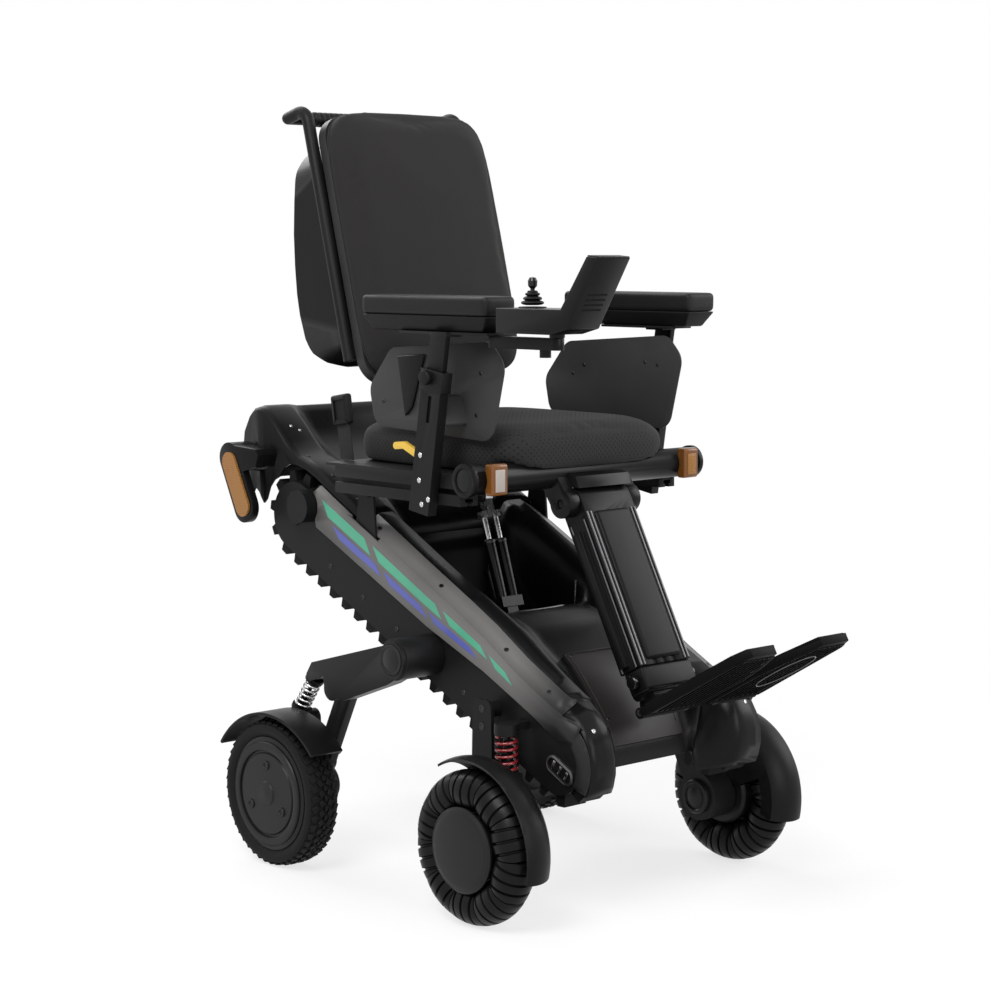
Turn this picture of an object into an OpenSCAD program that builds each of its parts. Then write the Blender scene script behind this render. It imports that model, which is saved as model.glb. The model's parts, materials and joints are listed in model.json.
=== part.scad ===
// Stair climbing wheelchair: tracked body, sprung wheels, tilting seat and powered controls.
// Lengths in millimetres. Front is -Y, the sitter's right is -X, the floor is z = 0.

/* [Wheels] */
// distance between the left and right wheel centres
wheel_track = 604; // [596:1:620]
// distance between the front and rear axles
wheelbase = 507; // [490:1:520]
// outside diameter of the front roller wheels
front_wheel_d = 250; // [236:1:254]
// diameter of the ring of rollers in section
roller_d = 68; // [62:1:70]
// number of rollers round a front wheel
roller_count = 10; // [8:1:12]
// diameter of the front hub cap
hub_cap_d = 138; // [120:1:144]
// outside diameter of the rear tyres
rear_wheel_d = 256; // [244:1:258]
// width of the rear tyres
rear_wheel_w = 62; // [54:1:64]

/* [Track] */
// width of a rubber track belt
belt_w = 48; // [40:1:50]
// height of a belt lug
lug_h = 19; // [14:0.5:20]
// length of belt for one lug
lug_pitch = 37; // [32:1:44]
// thickness of a belt without its lugs
belt_t = 7; // [5:0.5:8]
// thickness of the outer track plates
plate_t = 5; // [4:0.5:6]
// thickness of the grey side panels
panel_t = 8; // [5:0.5:10]

/* [Body] */
// thickness of the moulded covers
cover_t = 4; // [3:0.5:5]
// distance from centre to the outside of the track plates
body_half_w = 200; // [198:0.5:202]
// diameter of the rear arm boss
arm_boss_d = 70; // [60:1:72]

/* [Seat] */
// height of the top of the seat pan
pan_z = 705; // [700:1:708]
// width of the seat cushion
cushion_w = 398; // [370:1:402]
// length of the seat cushion
cushion_len = 426; // [400:1:428]
// thickness of the seat cushion at its edge
cushion_t = 66; // [55:1:72]
// rise of the seat cushion at its middle
cushion_crown = 18; // [8:1:24]
// width of a seat rail
rail_w = 38; // [34:1:38]
// height of a seat rail
rail_h = 45; // [38:1:46]
// diameter of the front crossbar
bar_d = 50; // [44:1:52]
// length of the front crossbar with its caps
bar_len = 532; // [526:1:550]

/* [Back] */
// recline of the backrest from upright
recline = 15; // [10:0.5:18]
// length of the back cushion
back_len = 478; // [430:1:490]
// width of the back cushion
back_w = 366; // [350:1:372]
// diameter of the push handle tube
tube_d = 22; // [18:1:24]

/* [Arms] */
// corner radius of the side guards
guard_round = 30; // [24:1:32]
// forward lean of the arm posts
post_lean = 9; // [8:0.5:12]
// depth of an arm post
post_w = 48; // [44:1:50]
// length of an arm pad
pad_len = 308; // [280:1:312]
// width of an arm pad
pad_w = 68; // [56:1:70]
// thickness of an arm pad
pad_t = 58; // [40:1:60]

/* [Legs] */
// angle of the leg column from upright
leg_lean = 28; // [24:0.1:29]
// width of the leg column
leg_w = 116; // [104:1:118]
// thickness of the leg column
leg_t = 50; // [44:1:52]
// length of the leg column
leg_len = 296; // [280:1:300]
// length of a footplate
foot_len = 243; // [210:1:246]
// upward tilt of the footplates
foot_tilt = 29.7; // [24:0.1:32]

/* [Springs] */
// outside diameter of the front springs
front_coil_d = 38; // [32:1:38]
// outside diameter of the rear springs
rear_coil_d = 31; // [26:1:32]
// wire diameter of the springs
wire_d = 5; // [3.5:0.5:5.5]
// number of turns in a spring
coil_turns = 5; // [4:1:6]

/* [Hidden] */
$fn = 64;
y_shift = 77.3;
gap = 0.4;
fit = 0.05;
black = [0.05, 0.05, 0.055];
coal = [0.09, 0.09, 0.095];
grey = [0.36, 0.355, 0.345];
steel = [0.72, 0.72, 0.72];
amber = [0.75, 0.42, 0.12];
red = [0.75, 0.08, 0.08];
yellow = [0.8, 0.65, 0.15];
brown = [0.17, 0.155, 0.15];
cloth = [0.12, 0.115, 0.115];
wheel_x = wheel_track / 2;
front_y = -wheelbase / 2;
rear_y = wheelbase / 2;
front_r = front_wheel_d / 2;
rear_r = rear_wheel_d / 2;
idler = [-332, 257];
drive = [341, 595];
belt_r1 = 52;
belt_r2 = 62;
idler_r = belt_r1 + lug_h;
drive_r = belt_r2 + lug_h;
run_len = norm(drive - idler);
run_ang = atan2(drive[1] - idler[1], drive[0] - idler[0]);
plate_x = body_half_w - plate_t;
belt_x1 = plate_x - 2;
belt_x0 = belt_x1 - belt_w;
inner_x1 = belt_x0 - 4;
inner_x0 = inner_x1 - 5;
cross_x = inner_x0 - fit;
battery_x = inner_x0 - 16;
ear_x1 = body_half_w + 3.5;
panel_x1 = body_half_w + panel_t;
arm_pivot = [-30, 394];
link_pivot = [150, 318];
rear_axle = [rear_y, rear_r];
front_axle = [front_y, front_r];
front_pivot = [-190, 245];
front_spring = [body_half_w + 38, front_y - 2, 238];
rear_spring = [body_half_w + 52, 258, 272];
spring_len = 60;
rear_spring_len = 62;
strut_tilt = 36;
arm_x0 = body_half_w + 40;
arm_x1 = arm_x0 + 32;
link_x0 = body_half_w + 22;
link_x1 = link_x0 + 16;
swing_x0 = body_half_w + 13;
swing_x1 = swing_x0 + 9;
bracket_x0 = swing_x1 + 4;
bracket_x1 = bracket_x0 + 6;
pod_x1 = body_half_w + 42;
seat_pivot = [136, 665];
act_base = [-14, 425];
act_top = [59, 640];
back_base = [177, 735];
back_pivot = [236, 738];
rail_x0 = 212;
rail_x1 = rail_x0 + rail_w;
rail_z0 = pan_z - 5 - rail_h;
cushion_y0 = -222;
bar = [-185, 700];
leg_pivot = [-216, 652];
leg_end = leg_pivot - leg_len * [sin(leg_lean), cos(leg_lean)];
post_x0 = rail_x1 + 2;
post_x1 = post_x0 + 18;
post_foot = [-78, 640];
post_top = 236;
pad_x = 233;
pad_z = 935;
pad_front = -237;
link_y = -224;
ctrl_y = -364;
stick = [-pad_x, -309, 986];
boss = [296, 617];
foot_pivot = leg_end + [-93, -44.65];

function flip(p) = [for (i = [len(p) - 1:-1:0]) p[i]];
function smooth(t) = t <= 0 ? 0 : t >= 1 ? 1 : t * t * (3 - 2 * t);
function unit(v) = v / norm(v);
function side_n(s, r1, r2) = run_ang + s * acos((r2 - r1) / run_len);
function polar(c, r, a) = c + r * [cos(a), sin(a)];

module place() { translate([0, y_shift, 0]) children(); }
module side(s) { mirror([s < 0 ? 1 : 0, 0, 0]) children(); }
module both() { side(1) children(); side(-1) children(); }
module plate(x0, x1) {
  translate([x0, 0, 0]) rotate([90, 0, 90]) linear_extrude(x1 - x0) children();
}
module rod(r, x0, x1, p) {
  translate([x0, p[0], p[1]]) rotate([0, 90, 0]) cylinder(r = r, h = x1 - x0);
}
module spin(p) { translate([0, p[0], p[1]]) rotate([0, 90, 0]) rotate_extrude() children(); }
module arc(p, a0, a1) {
  translate([0, p[0], p[1]]) rotate([0, 90, 0]) rotate([0, 0, a0 + 90])
    rotate_extrude(angle = a1 - a0) children();
}
module disc(p, r) { translate(p) circle(r); }
module loop(r1, r2) {
  disc(idler, r1);
  disc(drive, r2);
  a = side_n(1, r1, r2);
  b = side_n(-1, r1, r2);
  polygon([polar(idler, r1 - fit, a), polar(drive, r2 - fit, a), polar(drive, r2 - fit, b),
    polar(idler, r1 - fit, b)]);
}

// closed form from a stack of rings, each a list of points going anticlockwise from above
module rings(r) {
  n = len(r[0]);
  k = len(r);
  pts = concat([for (a = r) for (p = a) p], [mean(r[0]), mean(r[k - 1])]);
  walls = [for (i = [0:k - 2]) for (j = [0:n - 1]) let (b = (j + 1) % n)
    each [[i * n + j, i * n + n + j, i * n + n + b], [i * n + j, i * n + n + b, i * n + b]]];
  floor = [for (j = [0:n - 1]) [n * k, j, (j + 1) % n]];
  roof = [for (j = [0:n - 1]) [n * k + 1, n * k - n + (j + 1) % n, n * k - n + j]];
  polyhedron(concat(pts), concat(walls, floor, roof));
}
function mean(r) = [for (i = [0:2]) [for (p = r) p[i]] * [for (p = r) 1] / len(r)];
function ringpt(a, hx, hy, e) = [hx * sign(cos(a)) * pow(abs(cos(a)), e),
  hy * sign(sin(a)) * pow(abs(sin(a)), e)];
// rounded pad: half sizes, square-ness, base height, edge thickness and crown
function padrings(hx, hy, e, t, crown, n) = let (q = min(t / 2, 20)) [
  for (s = [[q * 0.5, 0], [q * 0.15, t * 0.1], [0, t * 0.35], [0, t * 0.6], [q * 0.18, t * 0.8],
    [q * 0.55, t * 0.93], [q * 1.2, t + crown * 0.12], [q * 2.2, t + crown * 0.45],
    [min(hx, hy) * 0.62, t + crown * 0.85], [min(hx, hy) * 0.85, t + crown * 0.98]])
    [for (i = [0:n - 1]) let (p = ringpt(i * 360 / n + 0.01, hx - s[0], hy - s[0], e)) [p[0], p[1], s[1]]]];

// helical spring standing on z = 0 with short straight ends, six-sided wire
module coil(d, h, wire, turns) {
  w = wire / 2;
  r = d / 2 - w;
  m = turns * 8;
  path = concat([[r, -wire, w]],
    [for (i = [0:m]) let (a = i * 45) [r * cos(a), r * sin(a), w + (h - wire) * i / m]],
    [[r, wire, h - w]]);
  k = len(path);
  tan = [for (i = [0:k - 1]) unit(path[min(i + 1, k - 1)] - path[max(i - 1, 0)])];
  pts = [for (i = [0:k - 1]) let (o = unit([cos((i - 1) * 45), sin((i - 1) * 45), 0]),
    u = i == 0 || i == k - 1 ? [1, 0, 0] : o, v = cross(tan[i], u))
    for (j = [0:5]) path[i] + w * (cos(j * 60) * u + sin(j * 60) * unit(v))];
  walls = [for (i = [0:k - 2]) for (j = [0:5]) let (b = (j + 1) % 6)
    each [[i * 6 + j, i * 6 + 6 + j, i * 6 + 6 + b], [i * 6 + j, i * 6 + 6 + b, i * 6 + b]]];
  ends = [for (j = [1:4]) each [[0, j, j + 1], [k * 6 - 6, k * 6 - 6 + j + 1, k * 6 - 6 + j]]];
  echo(coil_clear = (h - wire) / turns - wire);
  polyhedron(pts, concat(walls, ends));
}

// convex outline with round corners, from corner centres listed anticlockwise
module rpoly(c, r) {
  n = len(c);
  polygon([for (i = [0:n - 1]) let (d = unit(c[(i + 1) % n] - c[i]), o = r * [d[1], -d[0]])
    each [c[i] + o, c[(i + 1) % n] + o]]);
  for (p = c) disc(p, r);
}
module bar2d(p, q, r) { rpoly([p, q], r); }
module rrect(x0, x1, y0, y1, r) {
  rpoly([[x0 + r, y0 + r], [x1 - r, y0 + r], [x1 - r, y1 - r], [x0 + r, y1 - r]], r);
}
module along_y(y0, y1) {
  translate([0, y1, 0]) rotate([90, 0, 0]) linear_extrude(y1 - y0) children();
}

// track loop: distance along the belt to a point and outward angle
top_a = side_n(1, belt_r1, belt_r2);
low_a = side_n(-1, belt_r1, belt_r2);
run = norm(polar(drive, belt_r2, low_a) - polar(idler, belt_r1, low_a));
arc2 = belt_r2 * (top_a - low_a) * PI / 180;
arc1 = belt_r1 * (360 - top_a + low_a) * PI / 180;
belt_len = 2 * run + arc1 + arc2;
lug_n = round(belt_len / lug_pitch);
function on_belt(d) = let (s = d % belt_len)
  s < run ? concat(polar(idler, belt_r1, low_a) + s / run *
      (polar(drive, belt_r2, low_a) - polar(idler, belt_r1, low_a)), [low_a])
  : s < run + arc2 ? let (a = low_a + (s - run) / belt_r2 * 180 / PI)
      concat(polar(drive, belt_r2, a), [a])
  : s < 2 * run + arc2 ? concat(polar(drive, belt_r2, top_a) + (s - run - arc2) / run *
      (polar(idler, belt_r1, top_a) - polar(drive, belt_r2, top_a)), [top_a])
  : let (a = top_a + (s - 2 * run - arc2) / belt_r1 * 180 / PI) concat(polar(idler, belt_r1, a), [a]);
function off_belt(d, h) = let (p = on_belt(d)) [p[0] + h * cos(p[2]), p[1] + h * sin(p[2])];
step = belt_len / lug_n;
lugs = [for (i = [0:lug_n - 1]) each [off_belt(i * step, 0), off_belt(i * step + step * 0.14, lug_h),
  off_belt(i * step + step * 0.46, lug_h), off_belt(i * step + step * 0.6, 0),
  off_belt(i * step + step * 0.8, 0)]];

// moulded cover: height of the ridge over the tracks, of the deck between and of the skirt edge
ridge_t = [[-345, 352], [-301, 374], [-232, 410], [-162, 454], [-92, 491], [20, 548], [100, 590],
  [148, 614], [217, 648], [260, 672], [300, 694], [337, 702], [360, 716], [400, 757], [430, 780],
  [450, 788], [470, 780], [485, 758], [492, 732]];
deck_t = [[-356, 212], [-345, 238], [-321, 298], [-251, 380], [-178, 434], [-100, 458], [-82, 459],
  [-66, 440], [-52, 412], [-40, 400], [30, 400], [65, 430], [110, 490], [150, 575], [200, 630],
  [250, 652], [300, 670], [350, 690], [400, 716], [425, 742], [440, 770], [450, 786], [470, 780],
  [485, 758], [492, 732]];
skirt_t = [[148, 16], [340, 16], [365, 34], [392, 92], [410, 112], [430, 172], [492, 124]];
function soft(y, t) = (lookup(y - 10, t) + 2 * lookup(y, t) + lookup(y + 10, t)) / 4;
function station(y) = [y, soft(y, ridge_t), soft(y, deck_t), soft(y, ridge_t) - lookup(y, skirt_t),
  lookup(y, [[-400, -400], [440, 440], [489, 470]])];
edge_x = body_half_w - 0.8;
crest_x = 168;
deck_half = [[0, 0], [45, 0], [85, 0], [98, 0], [108, 0], [118, 0], [127, 0], [inner_x0 - 1, 0]];
front_half = concat(deck_half, [[152, 0], [crest_x, 0]]);
rear_half = concat(deck_half, [[160, 0], [182, 0], [edge_x - 5, 2.5], [edge_x, 9]]);
function height(s, h) = s[2] + (s[1] - s[2]) * smooth((h[0] - 95) / (inner_x0 - 97)) - h[1];
function across(s, w) = concat([for (h = flip(w)) [-h[0], s[0], height(s, h)]],
  [for (i = [1:len(w) - 1]) [w[i][0], s[0], height(s, w[i])]]);
function section(s) = concat([[-edge_x, s[4], s[3]]], across(s, rear_half), [[edge_x, s[4], s[3]]]);
module shell(g, t) {
  m = len(g);
  n = len(g[0]);
  norms = [for (i = [0:m - 1]) [for (j = [0:n - 1]) unit(cross(
    g[i][min(j + 1, n - 1)] - g[i][max(j - 1, 0)], g[min(i + 1, m - 1)][j] - g[max(i - 1, 0)][j]))]];
  pts = concat([for (a = g) for (p = a) p],
    [for (i = [0:m - 1]) for (j = [0:n - 1]) g[i][j] - t * norms[i][j]]);
  k = m * n;
  skin = [for (i = [0:m - 2]) for (j = [0:n - 2])
    let (a = i * n + j, b = a + 1, c = b + n, d = a + n)
    each [[a, d, c], [a, c, b], [k + a, k + c, k + d], [k + a, k + b, k + c]]];
  ends = [for (j = [0:n - 2]) let (a = j, c = (m - 1) * n + j) each [[a, a + 1, k + a + 1],
    [a, k + a + 1, k + a], [c + 1, c, k + c], [c + 1, k + c, k + c + 1]]];
  rims = [for (i = [0:m - 2]) let (a = i * n, b = a + n, c = a + n - 1, d = c + n)
    each [[b, a, k + a], [b, k + a, k + b], [c, d, k + d], [c, k + d, k + c]]];
  polyhedron(pts, concat(skin, ends, rims));
}
front_st = [-346, -334, -320, -304, -286, -266, -245, -224, -200, -176, -150, -122, -100, -86,
  -76, -66, -56, -46, -36, -10, 20, 36, 52, 70, 90, 110, 130, 148];
rear_st = [148.6, 168, 190, 220, 250, 280, 310, 335, 355, 372, 388, 402, 415, 425, 433, 441, 450, 462,
  473, 482, 489];

// welded frame: track plates, cross tubes, seat ears, bearings and wheel brackets
module chassis_frame() {
  color(coal) place() difference() {
    union() {
      both() {
        plate(plate_x, body_half_w) loop(belt_r1 - 1, belt_r2 - 1);
        plate(inner_x0, inner_x1) loop(belt_r1 - 7, belt_r2 - 7);
        rod(22, inner_x1 - 1, plate_x + 1, arm_pivot);
        rod(12, inner_x1 - 1, plate_x + 1, [150, 515]);
        rod(12, inner_x1 - 1, plate_x + 1, [-190, 345]);
        rod(29, body_half_w - 1, body_half_w + 30, boss);
        plate(body_half_w - 0.5, body_half_w + 7) disc(seat_pivot, 21);
        plate(body_half_w - 0.5, ear_x1)
          polygon([[106, 515], [172, 548], seat_pivot + [17, 2], seat_pivot + [-17, 2]]);
        front_bracket();
      }
      rod(12, -cross_x, cross_x, idler + [28, 4]);
      rod(16, -cross_x, cross_x, [150, 490]);
      rod(16, -cross_x, cross_x, [-70, 395]);
      plate(-cross_x, cross_x) translate([-27, 383]) square([44, 12]);
      plate(-cross_x, cross_x) translate(idler) rotate(low_a + 90) translate([30, -42]) square([340, 3]);
    }
    rod(15 + fit, -body_half_w - 1, body_half_w + 1, drive);
    rod(10 + fit, -body_half_w - 1, body_half_w + 1, idler);
    both() {
      rod(14 + fit, inner_x1 + 6, body_half_w + 1, arm_pivot);
      rod(8 + fit, body_half_w - 2, body_half_w + 8, seat_pivot);
    }
  }
  color(coal) place() {
    translate([-34, -26, 401.1]) cube([68, 42, 5]);
    both() plate(14, 20) difference() {
      union() {
        disc(act_base, 13);
        translate([act_base[0] - 13, 404]) square([26, act_base[1] - 404]);
      }
      disc(act_base, 5.5);
    }
  }
}
module front_bracket() {
  f = front_pivot;
  plate(bracket_x0, bracket_x1) rpoly([f + [-10, 3], f + [10, 3], f + [8, 85], f + [-8, 85]], 14);
  rod(13, body_half_w - 1, bracket_x0 + 1, [front_pivot[0], 325]);
  rod(8, swing_x0 - 1, bracket_x0 + 1, front_pivot);
  s = front_spring;
  translate([s[0], s[1], s[2] + spring_len]) cylinder(d = front_coil_d + 2, h = 18);
  translate([body_half_w - 1, s[1] - 12, s[2] + spring_len + 6]) cube([s[0] - body_half_w + 1, 24, 12]);
}

// one-piece black saddle over the tracks with a well for the seat lift
module centre_cover() {
  color(black) place() {
    shell([for (y = front_st) across(station(y), front_half)], cover_t);
    both() shell(concat([for (n = nose_t) [for (x = nose_x) nose_pt(n, x)]],
      [[for (x = nose_x) [x, front_st[0] - 2 * gap, height(station(front_st[0]), [x, nose_drop(16, x)])]]]),
      cover_t - 0.5);
  }
}
// noses that carry the saddle down round the front of the tracks, from the lower edge up:
// angle and radius about the idler, place of the inner foot, and fall towards the outer edge
nose_t = [[214, 80, -352, 203, 0], [205, 79, -352, 207, 0], [188, 78, -352, 213, 0],
  [170, 78.5, -352, 218, 1], [152, 81, -351, 223, 3], [134, 87, -350, 228, 7], [116, 92.5, -348.5, 233, 12]];
nose_x = [96, 101, 108, 116, 125, 134, 143, 152, crest_x, 184, edge_x];
function nose_drop(d, x) = d * max(0, x - crest_x) / (edge_x - crest_x);
function nose_pt(n, x) = let (f = polar(idler, n[1] - nose_drop(n[4], x), n[0]), b = smooth((x - 95) / 55))
  [x, n[2] + (f[0] - n[2]) * b, n[3] + (f[1] - n[3]) * b];
// tall rear cover that carries the well up behind the seat
module rear_cover() {
  color(black) place() shell(concat([for (y = rear_st) section(station(y))],
    [section([493, 716, 716, 605, 474]), section([493, 684, 684, 602, 478]),
      section([487, 650, 650, 598, 481])]), cover_t);
}
// lift-off panel over the battery, lying on the deck
module battery_cover() {
  y = [for (a = front_st) if (a > -340 && a < -222) a];
  p = [for (a = y) [a, soft(a, deck_t)]];
  n = [for (i = [0:len(p) - 1]) let (d = unit(p[min(i + 1, len(p) - 1)] - p[max(i - 1, 0)])) [-d[1], d[0]]];
  color(brown) place() plate(-84, 84) polygon(concat([for (i = [0:len(p) - 1]) p[i] + 0.7 * n[i]],
    flip([for (i = [0:len(p) - 1]) p[i] + 6 * n[i]])));
}
// grey strips outside the tracks with a bevelled band round the nose
panel_y = [-345, -320, -290, -260, -232, -200, -162, -130, -92, -40, 20, 60, 100, 145, 190, 228];
function panel_top(k, y1) = [for (y = panel_y) if (y <= y1) [y, soft(y, ridge_t) - k]];
module panel_face(k) {
  polygon(concat([[270, 582], [-27, 441], [-167, 384], [-281, 329], [-340, 296], [-372, 300], [-388, 326]],
    panel_top(k, 228), [[262, 672 - k], [282, 640]]));
}
module side_panels() {
  color(grey) place() both() difference() {
    union() {
      plate(body_half_w, body_half_w + panel_t * 0.5) panel_face(17);
      plate(body_half_w, panel_x1) panel_face(20);
      shell([for (p = panel_top(0, 146)) [[crest_x + 1.7, p[0], p[1]],
        [body_half_w + 1, p[0], p[1] - 16]]], 3);
      arc(idler, 128, 213) polygon([[belt_r1, body_half_w], [idler_r + 5, body_half_w],
        [idler_r + 4, body_half_w + 1], [idler_r - 10, panel_x1], [belt_r1, panel_x1]]);
    }
    plate(body_half_w - 1, panel_x1 + 1) disc(boss, 31);
    plate(body_half_w - 1, ear_x1 + 0.5) polygon([[103, 507], [175, 542], [175, 720], [103, 720]]);
  }
}
module track_belts() {
  color(black) place() both() plate(belt_x0, belt_x1) difference() {
    polygon(lugs);
    loop(belt_r1 - belt_t, belt_r2 - belt_t);
  }
}
// swept rear wings that hold the amber reflectors
module rear_pods() {
  color(black) place() both() difference() {
    plate(edge_x + 0.1, pod_x1) {
      bar2d([437, 606], [480, 692], 28);
      polygon([[392, 702], [400, 680], [470, 662], [486, 712], [470, 715], [400, 712]]);
    }
    translate([body_half_w - 1, 350, 540]) cube([29, 200, 128]);
    translate([body_half_w + 14, 350, 668]) rotate([-90, 0, 0]) cylinder(r = 14, h = 200);
  }
}
module pod_reflectors() {
  color(amber) place() both() plate(pod_x1, pod_x1 + 4) bar2d([437, 608], [476, 684], 19);
}
module battery_pack() {
  color(coal) place() plate(-battery_x, battery_x) translate(idler) rotate(low_a + 90) translate([70, -39])
    square([165, 62]);
}
// geared motor lying across the body that drives both tracks
module track_motor() {
  m = [205, 545];
  color(coal) place() difference() {
    union() {
      rod(42, -inner_x0 + 0.2, inner_x0 - 0.2, m);
      plate(-22, 22) bar2d(m, drive, 26);
    }
    rod(15 + fit, -30, 30, drive);
  }
}
module drive_axle() {
  color(coal) place() {
    rod(15, -body_half_w + 0.5, body_half_w - 0.5, drive);
    both() spin(drive) drum(belt_r2 - belt_t - gap, 14.9);
  }
}
module idler_axle() {
  color(coal) place() {
    both() {
      rod(10, inner_x0 - 3, body_half_w - 0.5, idler);
      spin(idler) drum(belt_r1 - belt_t - gap, 9.9);
    }
  }
}
module drum(r, b) {
  polygon([[b, belt_x0 + 3], [b + 10, belt_x0 + 3], [b + 10, belt_x0 + 18], [r - 6, belt_x0 + 18],
    [r - 6, belt_x0 + 3], [r, belt_x0 + 3], [r, belt_x1 - 3], [r - 6, belt_x1 - 3], [r - 6, belt_x1 - 18],
    [b + 10, belt_x1 - 18], [b + 10, belt_x1 - 3], [b, belt_x1 - 3]]);
}

module strut() { translate(rear_spring) rotate([strut_tilt, 0, 0]) children(); }
// swinging arm that carries a rear wheel
module rear_arm() {
  color(black) place() difference() {
    union() {
      rod(arm_boss_d / 2, body_half_w + gap, arm_x1 + 10, arm_pivot);
      rod(arm_boss_d / 2 - 4, arm_x1 + 9, arm_x1 + 16, arm_pivot);
      rod(14, inner_x1 + 8, body_half_w + 1, arm_pivot);
      plate(arm_x0, arm_x1) polygon([arm_pivot + [-2, 30], [1, 414], [204, 358], [219, 336], [210, 324],
        [190, 330], [172, 338], link_pivot + [18, -8], link_pivot + [-30, -16], [1, 346],
        arm_pivot + [-2, -30]]);
      rod(20, arm_x0, arm_x1, link_pivot);
      rod(8, link_x0, arm_x0 + 1, link_pivot);
      strut() translate([0, 0, rear_spring_len]) cylinder(d = rear_coil_d + 3, h = 9);
    }
    rod(26, arm_x1 + 15, arm_x1 + 18, arm_pivot);
  }
}
// sprung link from the arm down to the rear axle
module rear_link() {
  color(black) place() difference() {
    union() {
      plate(link_x0, link_x1) {
        disc(link_pivot, 20);
        bar2d(link_pivot, [218, 180], 18);
        bar2d([218, 180], rear_axle, 20);
        bar2d(rear_axle, [258, 248], 16);
      }
      rod(34, link_x1 - 1, rear_x0() - 4, rear_axle);
      rod(10, link_x1 - 1, rear_x0() + 56, rear_axle);
      translate([link_x1 - 1, 248, 246]) cube([rear_x0() - link_x1, 26, 22]);
      rod(32, link_x0 - 25, link_x0 + 1, rear_axle);
      strut() translate([0, 0, -6]) cylinder(d = rear_coil_d + 3, h = 6);
    }
    rod(8 + fit, link_x0 - 2, link_x1 + 2, link_pivot);
  }
}
function rear_x0() = wheel_x - rear_wheel_w / 2;
module rear_fender() {
  c = [245, 100];
  color(black) place() {
    arc(c, 36, 137) translate([166, rear_x0() + 5]) square([5, rear_wheel_w]);
    arc(c, 36, 137) translate([160, rear_x0()]) square([11, 6]);
    plate(rear_x0() - 1, rear_x0() + 5) polygon([[250, 254], [270, 254], [270, 263], [250, 262]]);
  }
}
module rear_spring() {
  color(steel) place() strut() translate([0, 0, 0.3])
    coil(rear_coil_d, rear_spring_len - 0.6, wire_d - 0.5, coil_turns);
}
module rear_tyre() {
  x = rear_x0();
  w = rear_wheel_w;
  r = rear_r;
  color(black) place() spin(rear_axle) polygon([[99, x + 5], [106, x + 1], [116, x], [122, x + 3],
    [r - 2, x + 10], [r, x + 18], [r, x + w - 18], [r - 2, x + w - 10], [122, x + w - 3], [116, x + w],
    [106, x + w - 1], [99, x + w - 5]]);
}
module rear_rim() {
  x = rear_x0();
  w = rear_wheel_w;
  color(coal) place() spin(rear_axle) polygon([[10 + fit, x + 8], [36, x + 8], [40, x + 22], [86, x + 22],
    [90, x + 7], [98.8, x + 7], [98.8, x + w - 4], [94, x + w - 2], [72, x + w - 2], [70, x + w + 1],
    [22, x + w + 2], [20, x + w + 4], [0.01, x + w + 5], [0.01, x + w - 2], [10 + fit, x + w - 2]]);
}

// front swing arm with the wheel motor and the lower spring seat
module front_arm() {
  s = front_spring;
  color(black) place() difference() {
    union() {
      plate(swing_x0, swing_x1) {
        disc(front_pivot, 18);
        bar2d(front_pivot, front_axle, 17);
        bar2d(front_axle, [s[1], s[2] - 20], 14);
        bar2d(front_pivot, [s[1], s[2] - 20], 12);
        disc(front_axle, 42);
      }
      rod(18, swing_x0, bracket_x0 - 0.5, front_pivot);
      rod(42, swing_x1 - 1, omni_x0() - 3, front_axle);
      rod(30, swing_x0 - 5, swing_x0 + 1, front_axle);
      rod(10, omni_x0() - 4, omni_x0() + 48, front_axle);
      translate([swing_x0 + 1, s[1] - 12, s[2] - 16]) cube([s[0] - swing_x0 - 1, 24, 11]);
      translate([s[0], s[1], s[2] - 6]) cylinder(d = front_coil_d + 2, h = 6);
    }
    rod(8 + fit, swing_x0 - 8, bracket_x0, front_pivot);
  }
}
function omni_x0() = wheel_x - roller_d / 2;
// curved guard over the inner half of a roller wheel, with a web to the swing arm
module front_fender() {
  c = front_r - roller_d / 2;
  r = roller_d / 2 + 18;
  x0 = omni_x0() - 7;
  color(black) place() {
    arc(front_axle, 61, 193) translate([c, wheel_x]) intersection() {
      difference() {
        circle(r + 3.5);
        circle(r);
      }
      translate([0, x0 - wheel_x]) square([90, wheel_x + 20 - x0]);
    }
    arc(front_axle, 61, 193) translate([c + 13, x0]) square([22, 3.5]);
    arc(front_axle, 100, 158) translate([42.3, x0]) square([64, 3.5]);
  }
}
module front_spring() {
  color(red) place() translate(front_spring + [0, 0, 0.3])
    coil(front_coil_d, spring_len - 0.6, wire_d, coil_turns);
}
module omni_hub() {
  x = omni_x0();
  w = roller_d;
  b = front_r - roller_d - 0.5;
  h = hub_cap_d / 2;
  color(coal) place() spin(front_axle) polygon([[10 + fit, x + 2], [b - 4, x + 2], [b, x + 8],
    [b, x + w - 6], [h, x + w - 5.5], [h, x + w - 2], [h - 5, x + w + 1], [h * 0.5, x + w + 3],
    [0.01, x + w + 4], [0.01, x + w - 14], [10 + fit, x + w - 14]]);
}
// ring of ribbed barrel rollers, each turning about a line along the rim
module omni_rollers() {
  c = front_r - roller_d / 2;
  a = 180 / roller_count;
  r = roller_d / 2;
  l = c * tan(a) * 1.25;
  color(black) place() translate([wheel_x, front_axle[0], front_axle[1]])
    for (i = [0:roller_count - 1]) rotate([i * 2 * a, 0, 0]) intersection() {
      translate([0, 0, c]) rotate([90, 0, 0]) rotate_extrude()
        polygon([[4, -l], [r - 5, -l], [r - 2, -l * 0.55], [r - 4, -l * 0.5], [r - 0.8, -l * 0.45],
          [r - 0.2, -l * 0.05], [r - 2.5, 0], [r - 0.2, l * 0.05], [r - 0.8, l * 0.45], [r - 4, l * 0.5],
          [r - 2, l * 0.55], [r - 5, l], [4, l]]);
      plate(-r - 2, r + 2) polygon([[0, 3], polar([0, 3], 200, 90 + a), polar([0, 3], 200, 90 - a)]);
    }
}

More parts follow.
